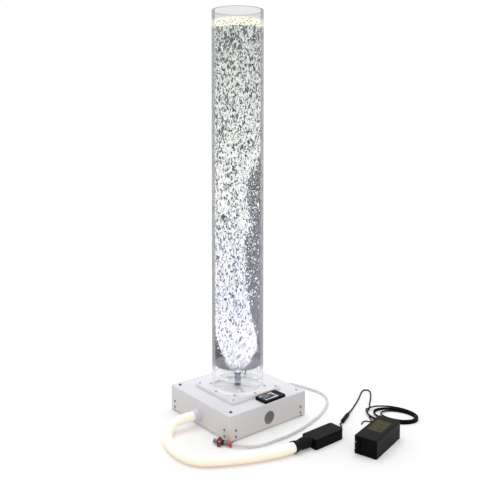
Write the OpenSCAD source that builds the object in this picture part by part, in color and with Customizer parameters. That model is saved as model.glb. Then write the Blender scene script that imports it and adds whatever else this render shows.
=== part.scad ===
// Floor-standing bubble tube lamp: a clear water column on a square base, with its
// glowing conduit, control box, mains adapter, drain hose and card remote.
// Millimetres, +Z up. The origin is on the floor under the centre of the base.

/* [Base box] */
// Width and depth of the square base box
base_w = 300; // [290:5:360]
// Height of the base box without its feet
base_h = 72; // [70:1:120]
// Wall of the base box
wall = 4; // [3:0.5:6]
// Radius of the upright corners of the box
corner_r = 6; // [4:0.5:12]
// Radius of the rounded edge round the top
top_edge_r = 2.5; // [1:0.5:3.5]
// Thickness of the floor plate
floor_t = 4; // [3:0.5:6]
// Height of the rubber feet
foot_h = 5; // [4:0.5:12]
// Diameter of a rubber foot
foot_d = 26; // [20:1:28]
// Width of a square corner post
post_w = 24; // [20:1:30]
// Height of the cable ports above the underside of the box
port_up = 28.5; // [26:0.5:40]
// Diameter of the spare conduit port
port_d = 40; // [20:1:42]

/* [Water column] */
// Outside diameter of the clear tube
tube_d = 160; // [150:1:170]
// Wall of the clear tube
tube_t = 5; // [3:0.5:8]
// Length of the clear tube
tube_len = 1160; // [600:20:1800]
// Thickness of the clear plug in the foot of the tube
plug_h = 42; // [32:1:60]
// Gap from the water to the rim
water_down = 30; // [15:1:80]
// Width of the flange plate beyond the tube, on each side
flange_out = 15; // [14:0.5:25]
// Thickness of the flange plate
plate_t = 8; // [5:0.5:14]
// Thickness of the gasket under the flange plate
gasket_t = 1; // [0.5:0.5:3]
// Number of screws in the ring round the tube
ring_screws = 8; // [4:1:12]

/* [Air nozzle] */
// Diameter of the nozzle foot and cap
nozzle_d = 20; // [16:1:24]
// Height of the nozzle body above the plate
nozzle_body_h = 18; // [14:1:24]
// Height of the blue nozzle cap
cap_h = 21; // [16:1:24]
// Diameter of the check ball
ball_d = 6; // [5:0.5:7]

/* [Conduit and control box] */
// Diameter of the glowing conduit
conduit_d = 28; // [20:1:30]
// Length of the control box
ctrl_l = 118; // [95:1:130]
// Width of the control box
ctrl_w = 56; // [50:1:70]
// Height of the control box
ctrl_h = 28; // [27:1:40]
// Wall of the control box
ctrl_t = 2.2; // [1.5:0.1:3]

/* [Drain] */
// Diameter of the drain hose
drain_d = 8; // [6:0.5:10]
// Diameter of the barrel of the drain valve
valve_d = 11; // [10:0.5:14]

/* [Mains adapter] */
// Length of the adapter
psu_l = 158; // [130:1:180]
// Width of the adapter
psu_w = 66; // [50:1:80]
// Height of the adapter
psu_h = 50; // [44:1:60]
// Diameter of the low-voltage lead
lead_d = 4.5; // [4:0.1:5]
// Loops in each layer of the lead's coil
coil_loops = 2; // [1:1:2]

/* [Remote] */
// Length of the card remote
remote_l = 84; // [80:1:100]
// Width of the card remote
remote_w = 47; // [44:1:60]
// Keys along the remote
key_cols = 6; // [4:1:6]
// Keys across the remote
key_rows = 4; // [2:1:4]

/* [Hidden] */
$fn = 64;

// clearances
gap = 0.2;            // between pieces that slip together
thread_gap = 0.1;     // round a screw in its thread
run_gap = 0.08;       // round a shaft that turns
ball_gap = 0.25;      // round the valve ball

// fasteners
m4 = 4;
head_d = 7.5;
head_t = 2.2;
drive_d = 2.6;        // across the drive recess
screw_hole = m4 + 2*gap;

// levels of the stack
box_top = foot_h + base_h;
box_under = box_top - wall;
floor_top = foot_h + floor_t;
plate_z = box_top + gasket_t;
plate_w = tube_d + 2*flange_out;
tube_z = plate_z + plate_t;
tube_top = tube_z + tube_len;
plug_top = tube_z + plug_h;
port_z = foot_h + port_up;
half = base_w/2;

// corner posts and their screws
post_c = half - wall - gap - post_w/2;
top_screw_c = post_c - 4.8;
side_screw_c = post_c - 6.8;
side_screw_z = [foot_h + 9, foot_h + 27];
screw_len = 18;

// light tray under the opening in the top
light_d = tube_d - 20;
tray_rim_t = 4;
tray_d = tube_d - 10;
tray_t = 3;
tray_depth = 24;
tray_floor = box_under - tray_depth;
board_t = 1.6;
board_up = 2;
board_z = tray_floor + tray_t + board_up;
ring_c = tube_d/2 + 4.5;
tray_rim_d = 2*ring_c + 15;
plate_screw_c = plate_w/2 - 11;

// nozzle
stem_d = 10;
bore_d = 4;
foot_flange = 3;
nozzle_seat = tube_z + nozzle_body_h;
chamber_d = ball_d + 1.6;
chamber_h = ball_d + 3.4;
ball_lift = 2;
ball_up = sqrt(ball_d*ball_d - bore_d*bore_d)/2 + 0.1;
nut_t = 5;
barb_len = 14;
stem_low = plate_z - nut_t - 4;
barb_low = stem_low - barb_len;

// drain
drain_c = 50;          // spigot's distance from the axis of the tube
drain_turn = 22.5;     // between two screws of the ring
elbow_out = 36;
drain_y = 75;          // outlet's place along the side of the box
drain_z = foot_h + 20;
elbow_z = plate_z - 14;
outlet_len = 16;

// conduit, control box
gland_len = 22;
gland_flange = 5;
gland_flange_d = 39;
gland_d = 34;
gland_socket = 10;
thread_d = 30;
ctrl_x = 12;           // hose end of the control box
ctrl_y = -301;
ctrl_axis_z = 17;
boot_len = 60;
boot_r = 16.5;
neck_r = 8;
relief_z = ctrl_h/2;
relief_y = ctrl_y + 7;

// mains adapter
psu_at = [169, -415, 0];
psu_turn = 14;
boss_h = 35;           // oval plug head
boss_w = 14;
boss_t = 4;
boss_y = psu_w/2 - 11;
boss_neck = 13;
pin_d = 4;
pin_root_d = 3.4;      // inside the plug head
pin_seat = 1;
pin_len = 19;
pin_pitch = 19;
pin_z = psu_h/2 + 3.5;
psu_lead_z = 24;
relief_len = 18;

// low-voltage connector
joint_at = [184, -266, 6.2];
joint_turn = 24.5;
socket_len = 44;
plug_len = 44;

// drain valve
valve_at = [-157 - (half - 150), -170 - (half - 150), 8.5];
valve_turn = 116.6;
valve_roll = -58.8;
collar_len = 7;
barrel_end = 24;
seal_t = 3.5;
core_end = 41;
spout_end = 56;
valve_core = (barrel_end + seal_t + core_end)/2;
core_r = 7.5;
vball_r = 5;
vbore_r = 2.6;
vstem_r = 2;
neck_r_v = 4;
neck_top = 8;
handle_t = 3;

// card remote on the top of the box
remote_gap = 7;         // from the plate's edge
remote_at = [-14, -plate_w/2 - remote_gap - remote_w, box_top];
remote_turn = 2.5;
remote_t = 7;
key_pitch = [8.8, 9.2];
key_size = [7, 6];
key_from = [12.5, (remote_w - (key_rows - 1)*key_pitch[1])/2];
press = 0.3;
mat_z = 3.9;
mat_t = 1;
tray_out = 26;
cell_d = 20;
cell_t = 2.6;
tray_l = 25;

// ---------- shared shapes ----------

// rounded rectangle, exact arcs
module rounded(w, d, r) {
    square([w - 2*r, d], center = true);
    square([w, d - 2*r], center = true);
    for (sx = [-1, 1], sy = [-1, 1])
        translate([sx*(w/2 - r), sy*(d/2 - r)]) circle(r);
}

// side outline of a box whose upper edges are rounded
module top_rounded(w, h, r) {
    translate([-w/2, 0]) square([w, h - r]);
    translate([-w/2 + r, 0]) square([w - 2*r, h]);
    for (s = [-1, 1]) translate([s*(w/2 - r), h - r]) circle(r);
}

// box with round upright corners and round top edges, standing on z = 0
module soft_box(w, d, h, r_side, r_top) {
    intersection() {
        linear_extrude(h) rounded(w, d, r_side);
        translate([0, d/2 + 1, 0]) rotate([90, 0, 0])
            linear_extrude(d + 2) top_rounded(w, h, r_top);
        translate([-w/2 - 1, 0, 0]) rotate([90, 0, 90])
            linear_extrude(w + 2) top_rounded(d, h, r_top);
    }
}

module ring(d_out, d_in, h) {
    difference() {
        cylinder(d = d_out, h = h);
        translate([0, 0, -1]) cylinder(d = d_in, h = h + 2);
    }
}

module at_corners(c) {
    for (sx = [-1, 1], sy = [-1, 1]) translate([sx*c, sy*c, 0]) children();
}

module round_pattern(n, r, first = 0) {
    for (i = [0:n - 1]) rotate(first + 360*i/n) translate([r, 0, 0]) children();
}

// places for the side screws: two at each end of each face, pointing outwards
module side_places() {
    for (face = [0:3], s = [-1, 1], z = side_screw_z)
        rotate(90*face) translate([half, s*side_screw_c, z]) rotate([0, 90, 0]) children();
}

// pan-head screw, head standing on z = 0, shank going down
module pan_screw(len) {
    difference() {
        union() {
            cylinder(d = head_d, h = head_t*0.6);
            translate([0, 0, head_t*0.6]) cylinder(d1 = head_d, d2 = head_d*0.7, h = head_t*0.4, $fn = 48);
            translate([0, 0, -len]) cylinder(d = m4, h = len);
        }
        for (a = [0, 90]) rotate(a)
            translate([-drive_d, -0.4, head_t*0.4]) cube([2*drive_d, 0.8, head_t]);
    }
}

function unit(v) = v/norm(v);
function lerp(a, b, t) = a + (b - a)*t;

// point at t between b and c on a smooth curve through a, b, c, d
function curve_point(a, b, c, d, t) =
    0.5*((2*b) + (c - a)*t + (2*a - 5*b + 4*c - d)*t*t + (3*b - a - 3*c + d)*t*t*t);
function end_before(p) = 2*p[0] - p[1];
function end_after(p) = 2*p[len(p) - 1] - p[len(p) - 2];
function with_ends(p) = concat([end_before(p)], p, [end_after(p)]);
// smooth route through hand-set points, in equal steps, never under height low;
// both ends leave square to the faces that they meet
function smooth(p, steps, low) =
    let (q = with_ends(p), last = len(p) - 1, stub = 0.8)
    concat([p[0], p[0] + stub*unit(p[1] - p[0])],
        [for (k = [1:steps - 1])
            let (u = k*last/steps, i = floor(u),
                s = curve_point(q[i], q[i + 1], q[i + 2], q[i + 3], u - i))
            [s[0], s[1], max(s[2], low)]],
        [p[last] + stub*unit(p[last - 1] - p[last]), p[last]]);
function direction(p, i) =
    let (n = len(p) - 1)
    unit(p[min(i + 1, n)] - p[max(i - 1, 0)]);
function ring_at(c, t, r, sides, up) =
    let (side = unit(cross(up, t)), over = cross(t, side))
    [for (j = [0:sides - 1])
        let (a = 360*(j + 0.5)/sides) c + r*(cos(a)*side + sin(a)*over)];
// closed tube of round section along a list of points
module swept(p, r, sides, up = [0, 0, 1]) {
    n = len(p);
    rings = [for (i = [0:n - 1]) each ring_at(p[i], direction(p, i), r, sides, up)];
    walls = [for (i = [0:n - 2], j = [0:sides - 1])
        let (a = i*sides + j, b = i*sides + (j + 1)%sides)
        each [[a, b, b + sides], [a, b + sides, a + sides]]];
    ends = [[for (j = [0:sides - 1]) sides - 1 - j],
        [for (j = [0:sides - 1]) (n - 1)*sides + j]];
    polyhedron(points = rings, faces = concat([for (f = walls) [f[2], f[1], f[0]]],
        [for (f = ends) [for (j = [0:sides - 1]) f[sides - 1 - j]]]), convexity = 10);
}

// ---------- base box ----------

module base_housing() color("whitesmoke") {
    difference() {
        translate([0, 0, foot_h]) soft_box(base_w, base_w, base_h, corner_r, top_edge_r);
        translate([0, 0, foot_h - 1])
            linear_extrude(base_h - wall + 1) rounded(base_w - 2*wall, base_w - 2*wall, corner_r - wall + 1);
        cylinder(d = light_d, h = box_top + 1);
        at_corners(top_screw_c) cylinder(d = screw_hole, h = box_top + 1);
        at_corners(plate_screw_c) cylinder(d = screw_hole, h = box_top + 1);
        round_pattern(ring_screws, ring_c) cylinder(d = screw_hole, h = box_top + 1);
        side_places() translate([0, 0, -2*wall]) cylinder(d = screw_hole, h = 3*wall);
        translate([0, -half, port_z]) rotate([90, 0, 0])
            translate([0, 0, -2*wall]) cylinder(d = port_d, h = 3*wall);
        translate([-half, 0, port_z]) rotate([0, -90, 0])
            translate([0, 0, -2*wall]) cylinder(d = thread_d + 2*gap, h = 3*wall);
        translate([half, drain_y, drain_z]) rotate([0, 90, 0])
            translate([0, 0, -2*wall]) cylinder(d = drain_d + 4 + 2*gap, h = 3*wall);
    }
}

module floor_plate() color("lightgray") {
    slot_w = 5;
    slot_l = 70;
    difference() {
        translate([0, 0, foot_h]) linear_extrude(floor_t)
            rounded(base_w - 2*wall - 2*gap, base_w - 2*wall - 2*gap, corner_r - wall + 1);
        at_corners(post_c) cylinder(d = screw_hole, h = floor_top + 1);
        for (s = [-1, 1], i = [-3:3])
            translate([s*60, 12*i, foot_h - 1]) linear_extrude(floor_t + 2) {
                square([slot_l, slot_w], center = true);
                for (e = [-1, 1]) translate([e*slot_l/2, 0]) circle(d = slot_w);
            }
    }
}

module rubber_feet() color("dimgray") {
    well = 3;
    at_corners(post_c) difference() {
        union() {
            cylinder(d1 = foot_d - 2, d2 = foot_d, h = 1);
            translate([0, 0, 1]) cylinder(d = foot_d, h = foot_h - 1);
        }
        translate([0, 0, -1]) cylinder(d = head_d + 2, h = well + 1);
        cylinder(d = screw_hole, h = foot_h + 1);
    }
}

module foot_screws() color("silver")
    at_corners(post_c) translate([0, 0, 3]) mirror([0, 0, 1]) pan_screw(screw_len);

module corner_posts() color("gainsboro")
    for (q = [0:3]) rotate(90*q) difference() {
        translate([post_c, post_c, floor_top]) linear_extrude(box_under - floor_top)
            rounded(post_w, post_w, corner_r - wall + 1);
        translate([post_c, post_c, floor_top - 1]) cylinder(d = m4 + 2*thread_gap, h = screw_len - 2);
        translate([top_screw_c, top_screw_c, box_under - screw_len])
            cylinder(d = m4 + 2*thread_gap, h = screw_len + 1);
        for (z = side_screw_z) {
            translate([half - screw_len - 2, side_screw_c, z]) rotate([0, 90, 0])
                cylinder(d = m4 + 2*thread_gap, h = screw_len);
            translate([side_screw_c, half - screw_len - 2, z]) rotate([-90, 0, 0])
                cylinder(d = m4 + 2*thread_gap, h = screw_len);
        }
    }

module top_screws() color("silver")
    at_corners(top_screw_c) translate([0, 0, box_top]) pan_screw(screw_len);

// blue covers on three of the four top screws, as found
module screw_caps() color("royalblue") {
    cap_t = 0.8;
    cap_d = head_d + 2.4;
    for (c = [[-1, -1], [-1, 1], [1, 1]])
        translate([c[0]*top_screw_c, c[1]*top_screw_c, box_top]) difference() {
            union() {
                cylinder(d = cap_d, h = head_t - 0.6);
                translate([0, 0, head_t - 0.6]) cylinder(d1 = cap_d, d2 = cap_d*0.6, h = cap_t + 1, $fn = 48);
            }
            translate([0, 0, -1]) cylinder(d = head_d + gap, h = head_t + 1.2);
        }
}

module side_screws() color("slategray") side_places() pan_screw(screw_len - 4);

// ---------- flange and water column ----------

module flange_holes(h) {
    at_corners(plate_screw_c) cylinder(d = screw_hole, h = h);
    round_pattern(ring_screws, ring_c) cylinder(d = screw_hole, h = h);
}

module plate_gasket() color("gray") difference() {
    translate([0, 0, box_top]) linear_extrude(gasket_t) rounded(plate_w - 3, plate_w - 3, 4);
    cylinder(d = light_d, h = plate_z + 1);
    flange_holes(plate_z + 1);
}

module flange_plate() color("aliceblue", 0.5) difference() {
    translate([0, 0, plate_z]) soft_box(plate_w, plate_w, plate_t, 5, 0.8);
    translate([0, 0, plate_z - 1]) cylinder(d = stem_d + 2*gap, h = plate_t + 2);
    rotate(drain_turn) translate([drain_c, 0, plate_z - 1])
        cylinder(d = drain_d + 2*gap, h = plate_t + 2);
    flange_holes(tube_z + 1);
}

module plate_screws() color("silver")
    at_corners(plate_screw_c) translate([0, 0, tube_z]) pan_screw(plate_t + gasket_t + wall + 3);

module ring_screw_set() color("silver")
    round_pattern(ring_screws, ring_c) translate([0, 0, tube_z])
        pan_screw(plate_t + gasket_t + wall + tray_rim_t + 2);

module acrylic_tube() color("azure", 0.3)
    translate([0, 0, tube_z]) ring(tube_d, tube_d - 2*tube_t, tube_len, $fn = 128);

seal_sec = 3;
seal_down = 5;
plug_d = tube_d - 2*tube_t - 2*gap;
module tube_plug() color("azure", 0.3) difference() {
    translate([0, 0, tube_z]) cylinder(d = plug_d, h = plug_h, $fn = 128);
    translate([0, 0, tube_z - 1]) cylinder(d = nozzle_d + 1, h = plug_h + 2);
    rotate(drain_turn) translate([drain_c, 0, tube_z - 1])
        cylinder(d = drain_d - 1, h = plug_h + 2);
    translate([0, 0, plug_top - seal_down - seal_sec/2]) ring(plug_d + 4, plug_d - 2*seal_sec, seal_sec);
}

module plug_seal() color("white", 0.8)
    translate([0, 0, plug_top - seal_down]) rotate_extrude($fn = 128)
        translate([plug_d/2 - seal_sec/2, 0]) circle(d = seal_sec - gap, $fn = 24);

module water() color("lightcyan", 0.3) {
    w_d = tube_d - 2*tube_t - 2*gap;
    low = plug_top + gap;
    translate([0, 0, low]) cylinder(d = w_d, h = tube_top - water_down - low, $fn = 128);
}

// ---------- air nozzle with its check ball ----------

module nozzle_body() color("lightsteelblue") difference() {
    union() {
        translate([0, 0, tube_z]) cylinder(d = nozzle_d, h = foot_flange);
        translate([0, 0, tube_z]) cylinder(d = nozzle_d - 4, h = nozzle_body_h);
        for (z = [foot_flange + 2.5:3.4:nozzle_body_h - 2])
            translate([0, 0, tube_z + z]) cylinder(d = nozzle_d - 1.5, h = 1.5);
        translate([0, 0, stem_low]) cylinder(d = stem_d, h = tube_z - stem_low);
        translate([0, 0, barb_low]) cylinder(d = 5, h = barb_len);
        for (z = [1:3.5:barb_len - 3])
            translate([0, 0, barb_low + z]) cylinder(d1 = 5, d2 = 6.6, h = 2.4, $fn = 48);
    }
    translate([0, 0, barb_low - 1]) cylinder(d = bore_d - 1, h = nozzle_seat - barb_low + 2);
    translate([0, 0, nozzle_seat - 6]) cylinder(d = bore_d, h = 7);
    // upright slots through the ribs
    round_pattern(8, nozzle_d/2 - 3.2, 22.5)
        translate([0, -0.9, tube_z + foot_flange + 1]) cube([4, 1.8, nozzle_body_h - foot_flange - 3]);
}

// spool-shaped cap: two flanges and a waist, seven outlet holes in its dished top
module nozzle_cap() color("blue") difference() {
    waist = nozzle_d*0.37;
    translate([0, 0, nozzle_seat]) rotate_extrude() polygon([
        [0, 0], [nozzle_d/2 - 0.6, 0], [nozzle_d/2, 0.8], [nozzle_d/2, cap_h*0.2],
        [waist, cap_h*0.42], [waist, cap_h*0.55], [nozzle_d/2, cap_h*0.78],
        [nozzle_d/2, cap_h - 1], [nozzle_d/2 - 1, cap_h], [nozzle_d/2 - 3, cap_h],
        [nozzle_d/2 - 4.5, cap_h - 1.2], [0, cap_h - 1.2]]);
    translate([0, 0, nozzle_seat - 1]) cylinder(d = chamber_d, h = chamber_h + 1);
    translate([0, 0, nozzle_seat]) cylinder(d = 1.6, h = cap_h + 1, $fn = 24);
    round_pattern(6, chamber_d/2 - 1.1)
        translate([0, 0, nozzle_seat + chamber_h - 1]) cylinder(d = 1.6, h = cap_h, $fn = 24);
}

module check_ball() color("white")
    translate([0, 0, nozzle_seat + ball_up]) sphere(d = ball_d, $fn = 48);

module nozzle_nut() color("silver") difference() {
    translate([0, 0, plate_z - nut_t]) cylinder(d = 19, h = nut_t, $fn = 6);
    translate([0, 0, plate_z - nut_t - 1]) cylinder(d = stem_d + 2*thread_gap, h = nut_t + 2);
}

// ---------- lights in the base ----------

module light_tray() color("white") difference() {
    union() {
        translate([0, 0, box_under - tray_rim_t]) ring(tray_rim_d, tray_d - 2*tray_t, tray_rim_t, $fn = 96);
        translate([0, 0, tray_floor]) ring(tray_d, tray_d - 2*tray_t, tray_depth, $fn = 96);
        translate([0, 0, tray_floor]) cylinder(d = tray_d, h = tray_t, $fn = 96);
        round_pattern(4, 45, 45) translate([0, 0, tray_floor]) cylinder(d = 8, h = tray_t + board_up);
        round_pattern(ring_screws, ring_c) translate([0, 0, box_under - tray_rim_t - 4])
            cylinder(d = 9, h = 8);
    }
    translate([0, 0, tray_floor - 1]) cylinder(d = 26, h = tray_t + 2);
    round_pattern(ring_screws, ring_c) translate([0, 0, tray_floor])
        cylinder(d = m4 + 2*thread_gap, h = tray_depth + 1);
    // way out for the drain line
    rotate(drain_turn) translate([tray_d/2 - 12, 0, elbow_z]) rotate([0, 90, 0])
        cylinder(d = drain_d + 1.6, h = 24);
}

module led_board() color("ghostwhite") translate([0, 0, board_z]) difference() {
    cylinder(d = tray_d - 2*tray_t - 4, h = board_t, $fn = 96);
    translate([0, 0, -1]) cylinder(d = 40, h = board_t + 2);
}

module led_chips() color("lemonchiffon") {
    chip = 5;
    for (r = [[16, tray_d/2 - 15], [10, 33]]) round_pattern(r[0], r[1], 9)
        translate([0, 0, board_z + board_t]) difference() {
            translate([-chip/2, -chip/2, 0]) cube([chip, chip, 1.6]);
            translate([0, 0, 1]) cylinder(d1 = 3.2, d2 = 4, h = 1, $fn = 32);
        }
}

conduit_start = -half - gland_len + gland_socket;
// air line from the nozzle down and out through the gland
air_line_pts = [[0, 0, barb_low], [0, 0, barb_low - 8], [-7, 0, barb_low - 17],
    [-24, 0, port_z + 1.5], [-48, 0, port_z], [-90, 0, port_z], [-130, 0, port_z],
    [conduit_start, 0, port_z]];
module air_line() color("lightblue")
    swept(smooth(air_line_pts, 18, port_z - 1), 3, 10, [0, 1, 0]);

// ---------- conduit and control box ----------

module gland() color("lavender") translate([-half, 0, port_z]) rotate([0, -90, 0])
    difference() {
        union() {
            cylinder(d = gland_flange_d, h = gland_flange - 1);
            translate([0, 0, gland_flange - 1])
                cylinder(d1 = gland_flange_d, d2 = gland_flange_d - 3, h = 1);
            cylinder(d = gland_d, h = gland_len - 3);
            translate([0, 0, gland_len - 3]) cylinder(d1 = gland_d, d2 = gland_d - 3, h = 3);
            translate([0, 0, -wall - 12]) cylinder(d = thread_d, h = wall + 12);
        }
        translate([0, 0, -wall - 13]) cylinder(d = conduit_d - 8, h = gland_len + wall + 14);
        translate([0, 0, gland_len - gland_socket]) cylinder(d = conduit_d + 2*gap, h = gland_socket + 1);
    }

module gland_nut() color("lavender") translate([-half + wall, 0, port_z]) rotate([0, 90, 0])
    difference() {
        cylinder(d = 44, h = 7, $fn = 6);
        translate([0, 0, -1]) cylinder(d = thread_d + 2*thread_gap, h = 9);
    }

sh = half - 150;       // how far the routes move out with the sides of the box
conduit_low = conduit_d/2 + 0.2;
conduit_end = ctrl_x - boot_len + 10;
conduit_pts = [[conduit_start, 0, port_z], [conduit_start - 8, 0, port_z],
    [conduit_start - 17, 0, port_z], [-201 - sh, 5, 31.5], [-226 - sh, 9, 26],
    [-252 - sh, 0, 19.5], [-278 - sh, -28, 15.5], [-297 - sh, -69, conduit_low],
    [-305 - sh, -119, conduit_low], [-300 - sh, -165, conduit_low], [-283 - sh, -198, conduit_low],
    [-252 - sh, -222, conduit_low], [-207 - sh*0.5, -247, conduit_low],
    [-156, -271, conduit_low], [-105, -289, conduit_low + 0.6],
    [-74, -298, ctrl_axis_z - 0.8], [conduit_end - 16, ctrl_y, ctrl_axis_z],
    [conduit_end - 8, ctrl_y, ctrl_axis_z], [conduit_end, ctrl_y, ctrl_axis_z]];
module glow_conduit() color("ivory")
    swept(smooth(conduit_pts, 36, conduit_low), conduit_d/2, 12);

// black rubber boot: flared mouth, waist and two steps up to the box
module conduit_boot() color("dimgray")
    translate([ctrl_x - boot_len, ctrl_y, ctrl_axis_z]) rotate([0, 90, 0]) difference() {
        rotate_extrude() polygon([[0, 0], [boot_r + 0.3, 0], [boot_r - 0.6, 3], [boot_r - 1, 10],
            [boot_r - 2.6, 14], [boot_r - 2.6, 28], [boot_r - 1, 29], [boot_r - 1, 40], [boot_r, 41],
            [boot_r, boot_len], [neck_r, boot_len], [neck_r, boot_len + 5], [0, boot_len + 5]]);
        translate([0, 0, -1]) cylinder(d = conduit_d + 2*gap, h = 11);
        translate([0, 0, -1]) cylinder(d = 11, h = boot_len + 7);
    }

module ctrl_place() translate([ctrl_x + ctrl_l/2, ctrl_y, 0]) children();

ctrl_split = ctrl_h*0.46;
ctrl_near_r = 5;       // upright corners at the hose end
ctrl_far_r = 18;       // and at the lead's end
// plan of the control box, cut in from all sides
module ctrl_plan(cut) {
    l = ctrl_l/2 - cut;
    w = ctrl_w/2 - cut;
    a = ctrl_near_r - cut;
    b = ctrl_far_r - cut;
    translate([-l + a, -w]) square([2*l - a - b, 2*w]);
    translate([-l, -w + a]) square([l, 2*w - 2*a]);
    translate([0, -w + b]) square([l, 2*w - 2*b]);
    for (s = [-1, 1]) {
        translate([-l + a, s*(w - a)]) circle(a);
        translate([l - b, s*(w - b)]) circle(b);
    }
}

module ctrl_box(cut, h, r_top) intersection() {
    linear_extrude(h) ctrl_plan(cut);
    translate([0, ctrl_w, 0]) rotate([90, 0, 0])
        linear_extrude(2*ctrl_w) top_rounded(ctrl_l - 2*cut, h, r_top);
    translate([-ctrl_l, 0, 0]) rotate([90, 0, 90])
        linear_extrude(2*ctrl_l) top_rounded(ctrl_w - 2*cut, h, r_top);
}

module ctrl_shell() difference() {
    ctrl_box(0, ctrl_h, 4);
    translate([0, 0, ctrl_t]) ctrl_box(ctrl_t, ctrl_h - 2*ctrl_t, 4 - ctrl_t);
    // the boot's neck and the lead's grommet pass through the end walls
    translate([-ctrl_l/2 - 1, 0, ctrl_axis_z]) rotate([0, 90, 0]) cylinder(r = neck_r + gap, h = 12);
    translate([ctrl_l/2 - 8, relief_y - ctrl_y, relief_z]) rotate([0, 90, 0])
        cylinder(d = 7 + 2*gap, h = 12);
}

module control_lid() color("black") ctrl_place() difference() {
    ctrl_shell();
    translate([-ctrl_l, -ctrl_w, -1]) cube([2*ctrl_l, 2*ctrl_w, ctrl_split + 1]);
}

module control_tray() color("black") ctrl_place() union() {
    difference() {
        ctrl_shell();
        translate([-ctrl_l, -ctrl_w, ctrl_split - 0.3]) cube([2*ctrl_l, 2*ctrl_w, ctrl_h]);
    }
    for (sx = [-1, 1], sy = [-1, 1])
        translate([12 + sx*30, sy*(ctrl_w/2 - 9), 0]) cylinder(d = 5, h = ctrl_t + 2);
}

module control_board() color("darkgreen") ctrl_place() {
    b = 1.6;
    translate([8, 0, ctrl_t + 2]) {
        translate([-36, -ctrl_w/2 + 4, 0]) cube([72, ctrl_w - 8, b]);
        translate([24, -9, b]) cube([11, 18, 5]);
        for (i = [0:3]) translate([4, -15 + 10*i, b]) cylinder(d = 6, h = 7, $fn = 32);
        translate([14, -16, b]) cube([10, 10, 2]);
    }
}

// small diaphragm pump: motor can, pump head and outlet spout
module air_pump() color("gray") ctrl_place() translate([-12, 0, ctrl_t + 3.6]) {
    can = 15;
    translate([0, -14, can/2 + 0.2]) rotate([0, 90, 0]) cylinder(d = can, h = 16);
    translate([-16, -22, 0]) cube([16, 16, can]);
    translate([-21, -14, can/2]) rotate([0, 90, 0]) cylinder(d = 5, h = 6);
}

module lead_grommet() color("black")
    translate([ctrl_x + ctrl_l - 3, relief_y, relief_z]) rotate([0, 90, 0]) difference() {
        rotate_extrude() polygon([[0, 0], [3.5, 0], [3.5, 3.2], [5, 3.2], [5, 5], [3.6, 6.5],
            [2.8, 19], [0, 19]]);
        translate([0, 0, -1]) cylinder(d = 3, h = 8);
    }

pig_x = ctrl_x + ctrl_l + 16;
joint_dir = [cos(joint_turn), sin(joint_turn), 0];
pigtail_pts = [[pig_x, relief_y, relief_z], [pig_x + 3, relief_y, relief_z],
    [pig_x + 11, relief_y + 3, relief_z - 3], [pig_x + 20, relief_y + 11, 7.6],
    joint_at - 12*joint_dir + [0, 0, 0.4], joint_at - 5*joint_dir, joint_at];
module pigtail() color("black")
    swept(smooth(pigtail_pts, 12, lead_d/2 + 0.2), lead_d/2, 8);

module joint_place() translate(joint_at) rotate([0, 90, joint_turn]) children();

module dc_socket() color("black") joint_place() difference() {
    rotate_extrude() polygon([[0, 0], [2.6, 0], [3.2, 9], [5, 10], [6, 12], [6, 20],
        [5.4, 21], [5.4, 23], [6, 24], [6, socket_len - 4], [5.4, socket_len - 3],
        [5.4, socket_len], [0, socket_len]]);
    translate([0, 0, socket_len - 12]) cylinder(d = 6, h = 13);
}

module dc_plug() color("black") joint_place() translate([0, 0, socket_len]) {
    difference() {
        union() {
            rotate_extrude() polygon([[0, 0], [5.2, 0], [5.8, 1], [5.8, 18], [4.6, 20], [3.4, 22],
                [2.6, plug_len - 1], [2.6, plug_len], [0, plug_len]]);
            translate([0, 0, -9]) cylinder(d = 5.5, h = 10);
        }
        translate([0, 0, -10]) cylinder(d = 2.5, h = 10, $fn = 32);
        round_pattern(3, 6.1) for (z = [4:3:16]) translate([0, 0, z]) cylinder(d = 1.4, h = 1.6, $fn = 24);
    }
}

// ---------- low-voltage lead and its coil ----------

lead_r = lead_d/2;
floor_line = lead_r + 0.2;
joint_end = joint_at + (socket_len + plug_len)*[cos(joint_turn), sin(joint_turn), 0];

// oval coil: the loops draw in together towards their far end, then wind out again
// one layer up
coil_c = [351, -325];
coil_turn = -63.4;
coil_a = 78;
coil_b = 54;
coil_da = 14;
coil_db = 10;
coil_shift = 8;
coil_start = 171;
coil_steps = 24;
coil_layers = 2;
coil_total = coil_layers*coil_loops*coil_steps;
coil_rise = lead_d + 0.7;
function coil_in(k) = let (h = coil_total/2) (k <= h ? k : 2*h - k)/coil_steps;
function coil_up(k) =
    let (s = (k - (coil_total/2 - coil_steps/4))/(coil_steps/2), c = min(max(s, 0), 1))
    c*c*(3 - 2*c);
function coil_point(k) =
    let (w = coil_in(k), t = coil_start + 360*k/coil_steps,
        x = (coil_a - coil_da*w)*cos(t) + coil_shift*w, y = (coil_b - coil_db*w)*sin(t))
    [coil_c[0] + x*cos(coil_turn) - y*sin(coil_turn),
        coil_c[1] + x*sin(coil_turn) + y*cos(coil_turn), floor_line + coil_rise*coil_up(k)];
coil_path = [for (k = [0:coil_total]) coil_point(k)];
coil_in_dir = unit(coil_path[1] - coil_path[0]);
coil_out_dir = unit(coil_path[coil_total] - coil_path[coil_total - 1]);
coil_first = coil_path[0] - lead_d*coil_in_dir;
coil_last = coil_path[coil_total] + lead_d*coil_out_dir;
coil_line = concat([coil_first], coil_path, [coil_last]);
// least distance between stretches of the coil that are not neighbours, less a lead
coil_gap = min([for (i = [0:len(coil_line) - 1], j = [0:len(coil_line) - 1])
    if (j > i + 4) norm(coil_line[i] - coil_line[j])]) - lead_d;
echo(coil_self_gap = coil_gap);
module lead_coil() color("black") swept(coil_line, lead_r, 6);

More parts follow.
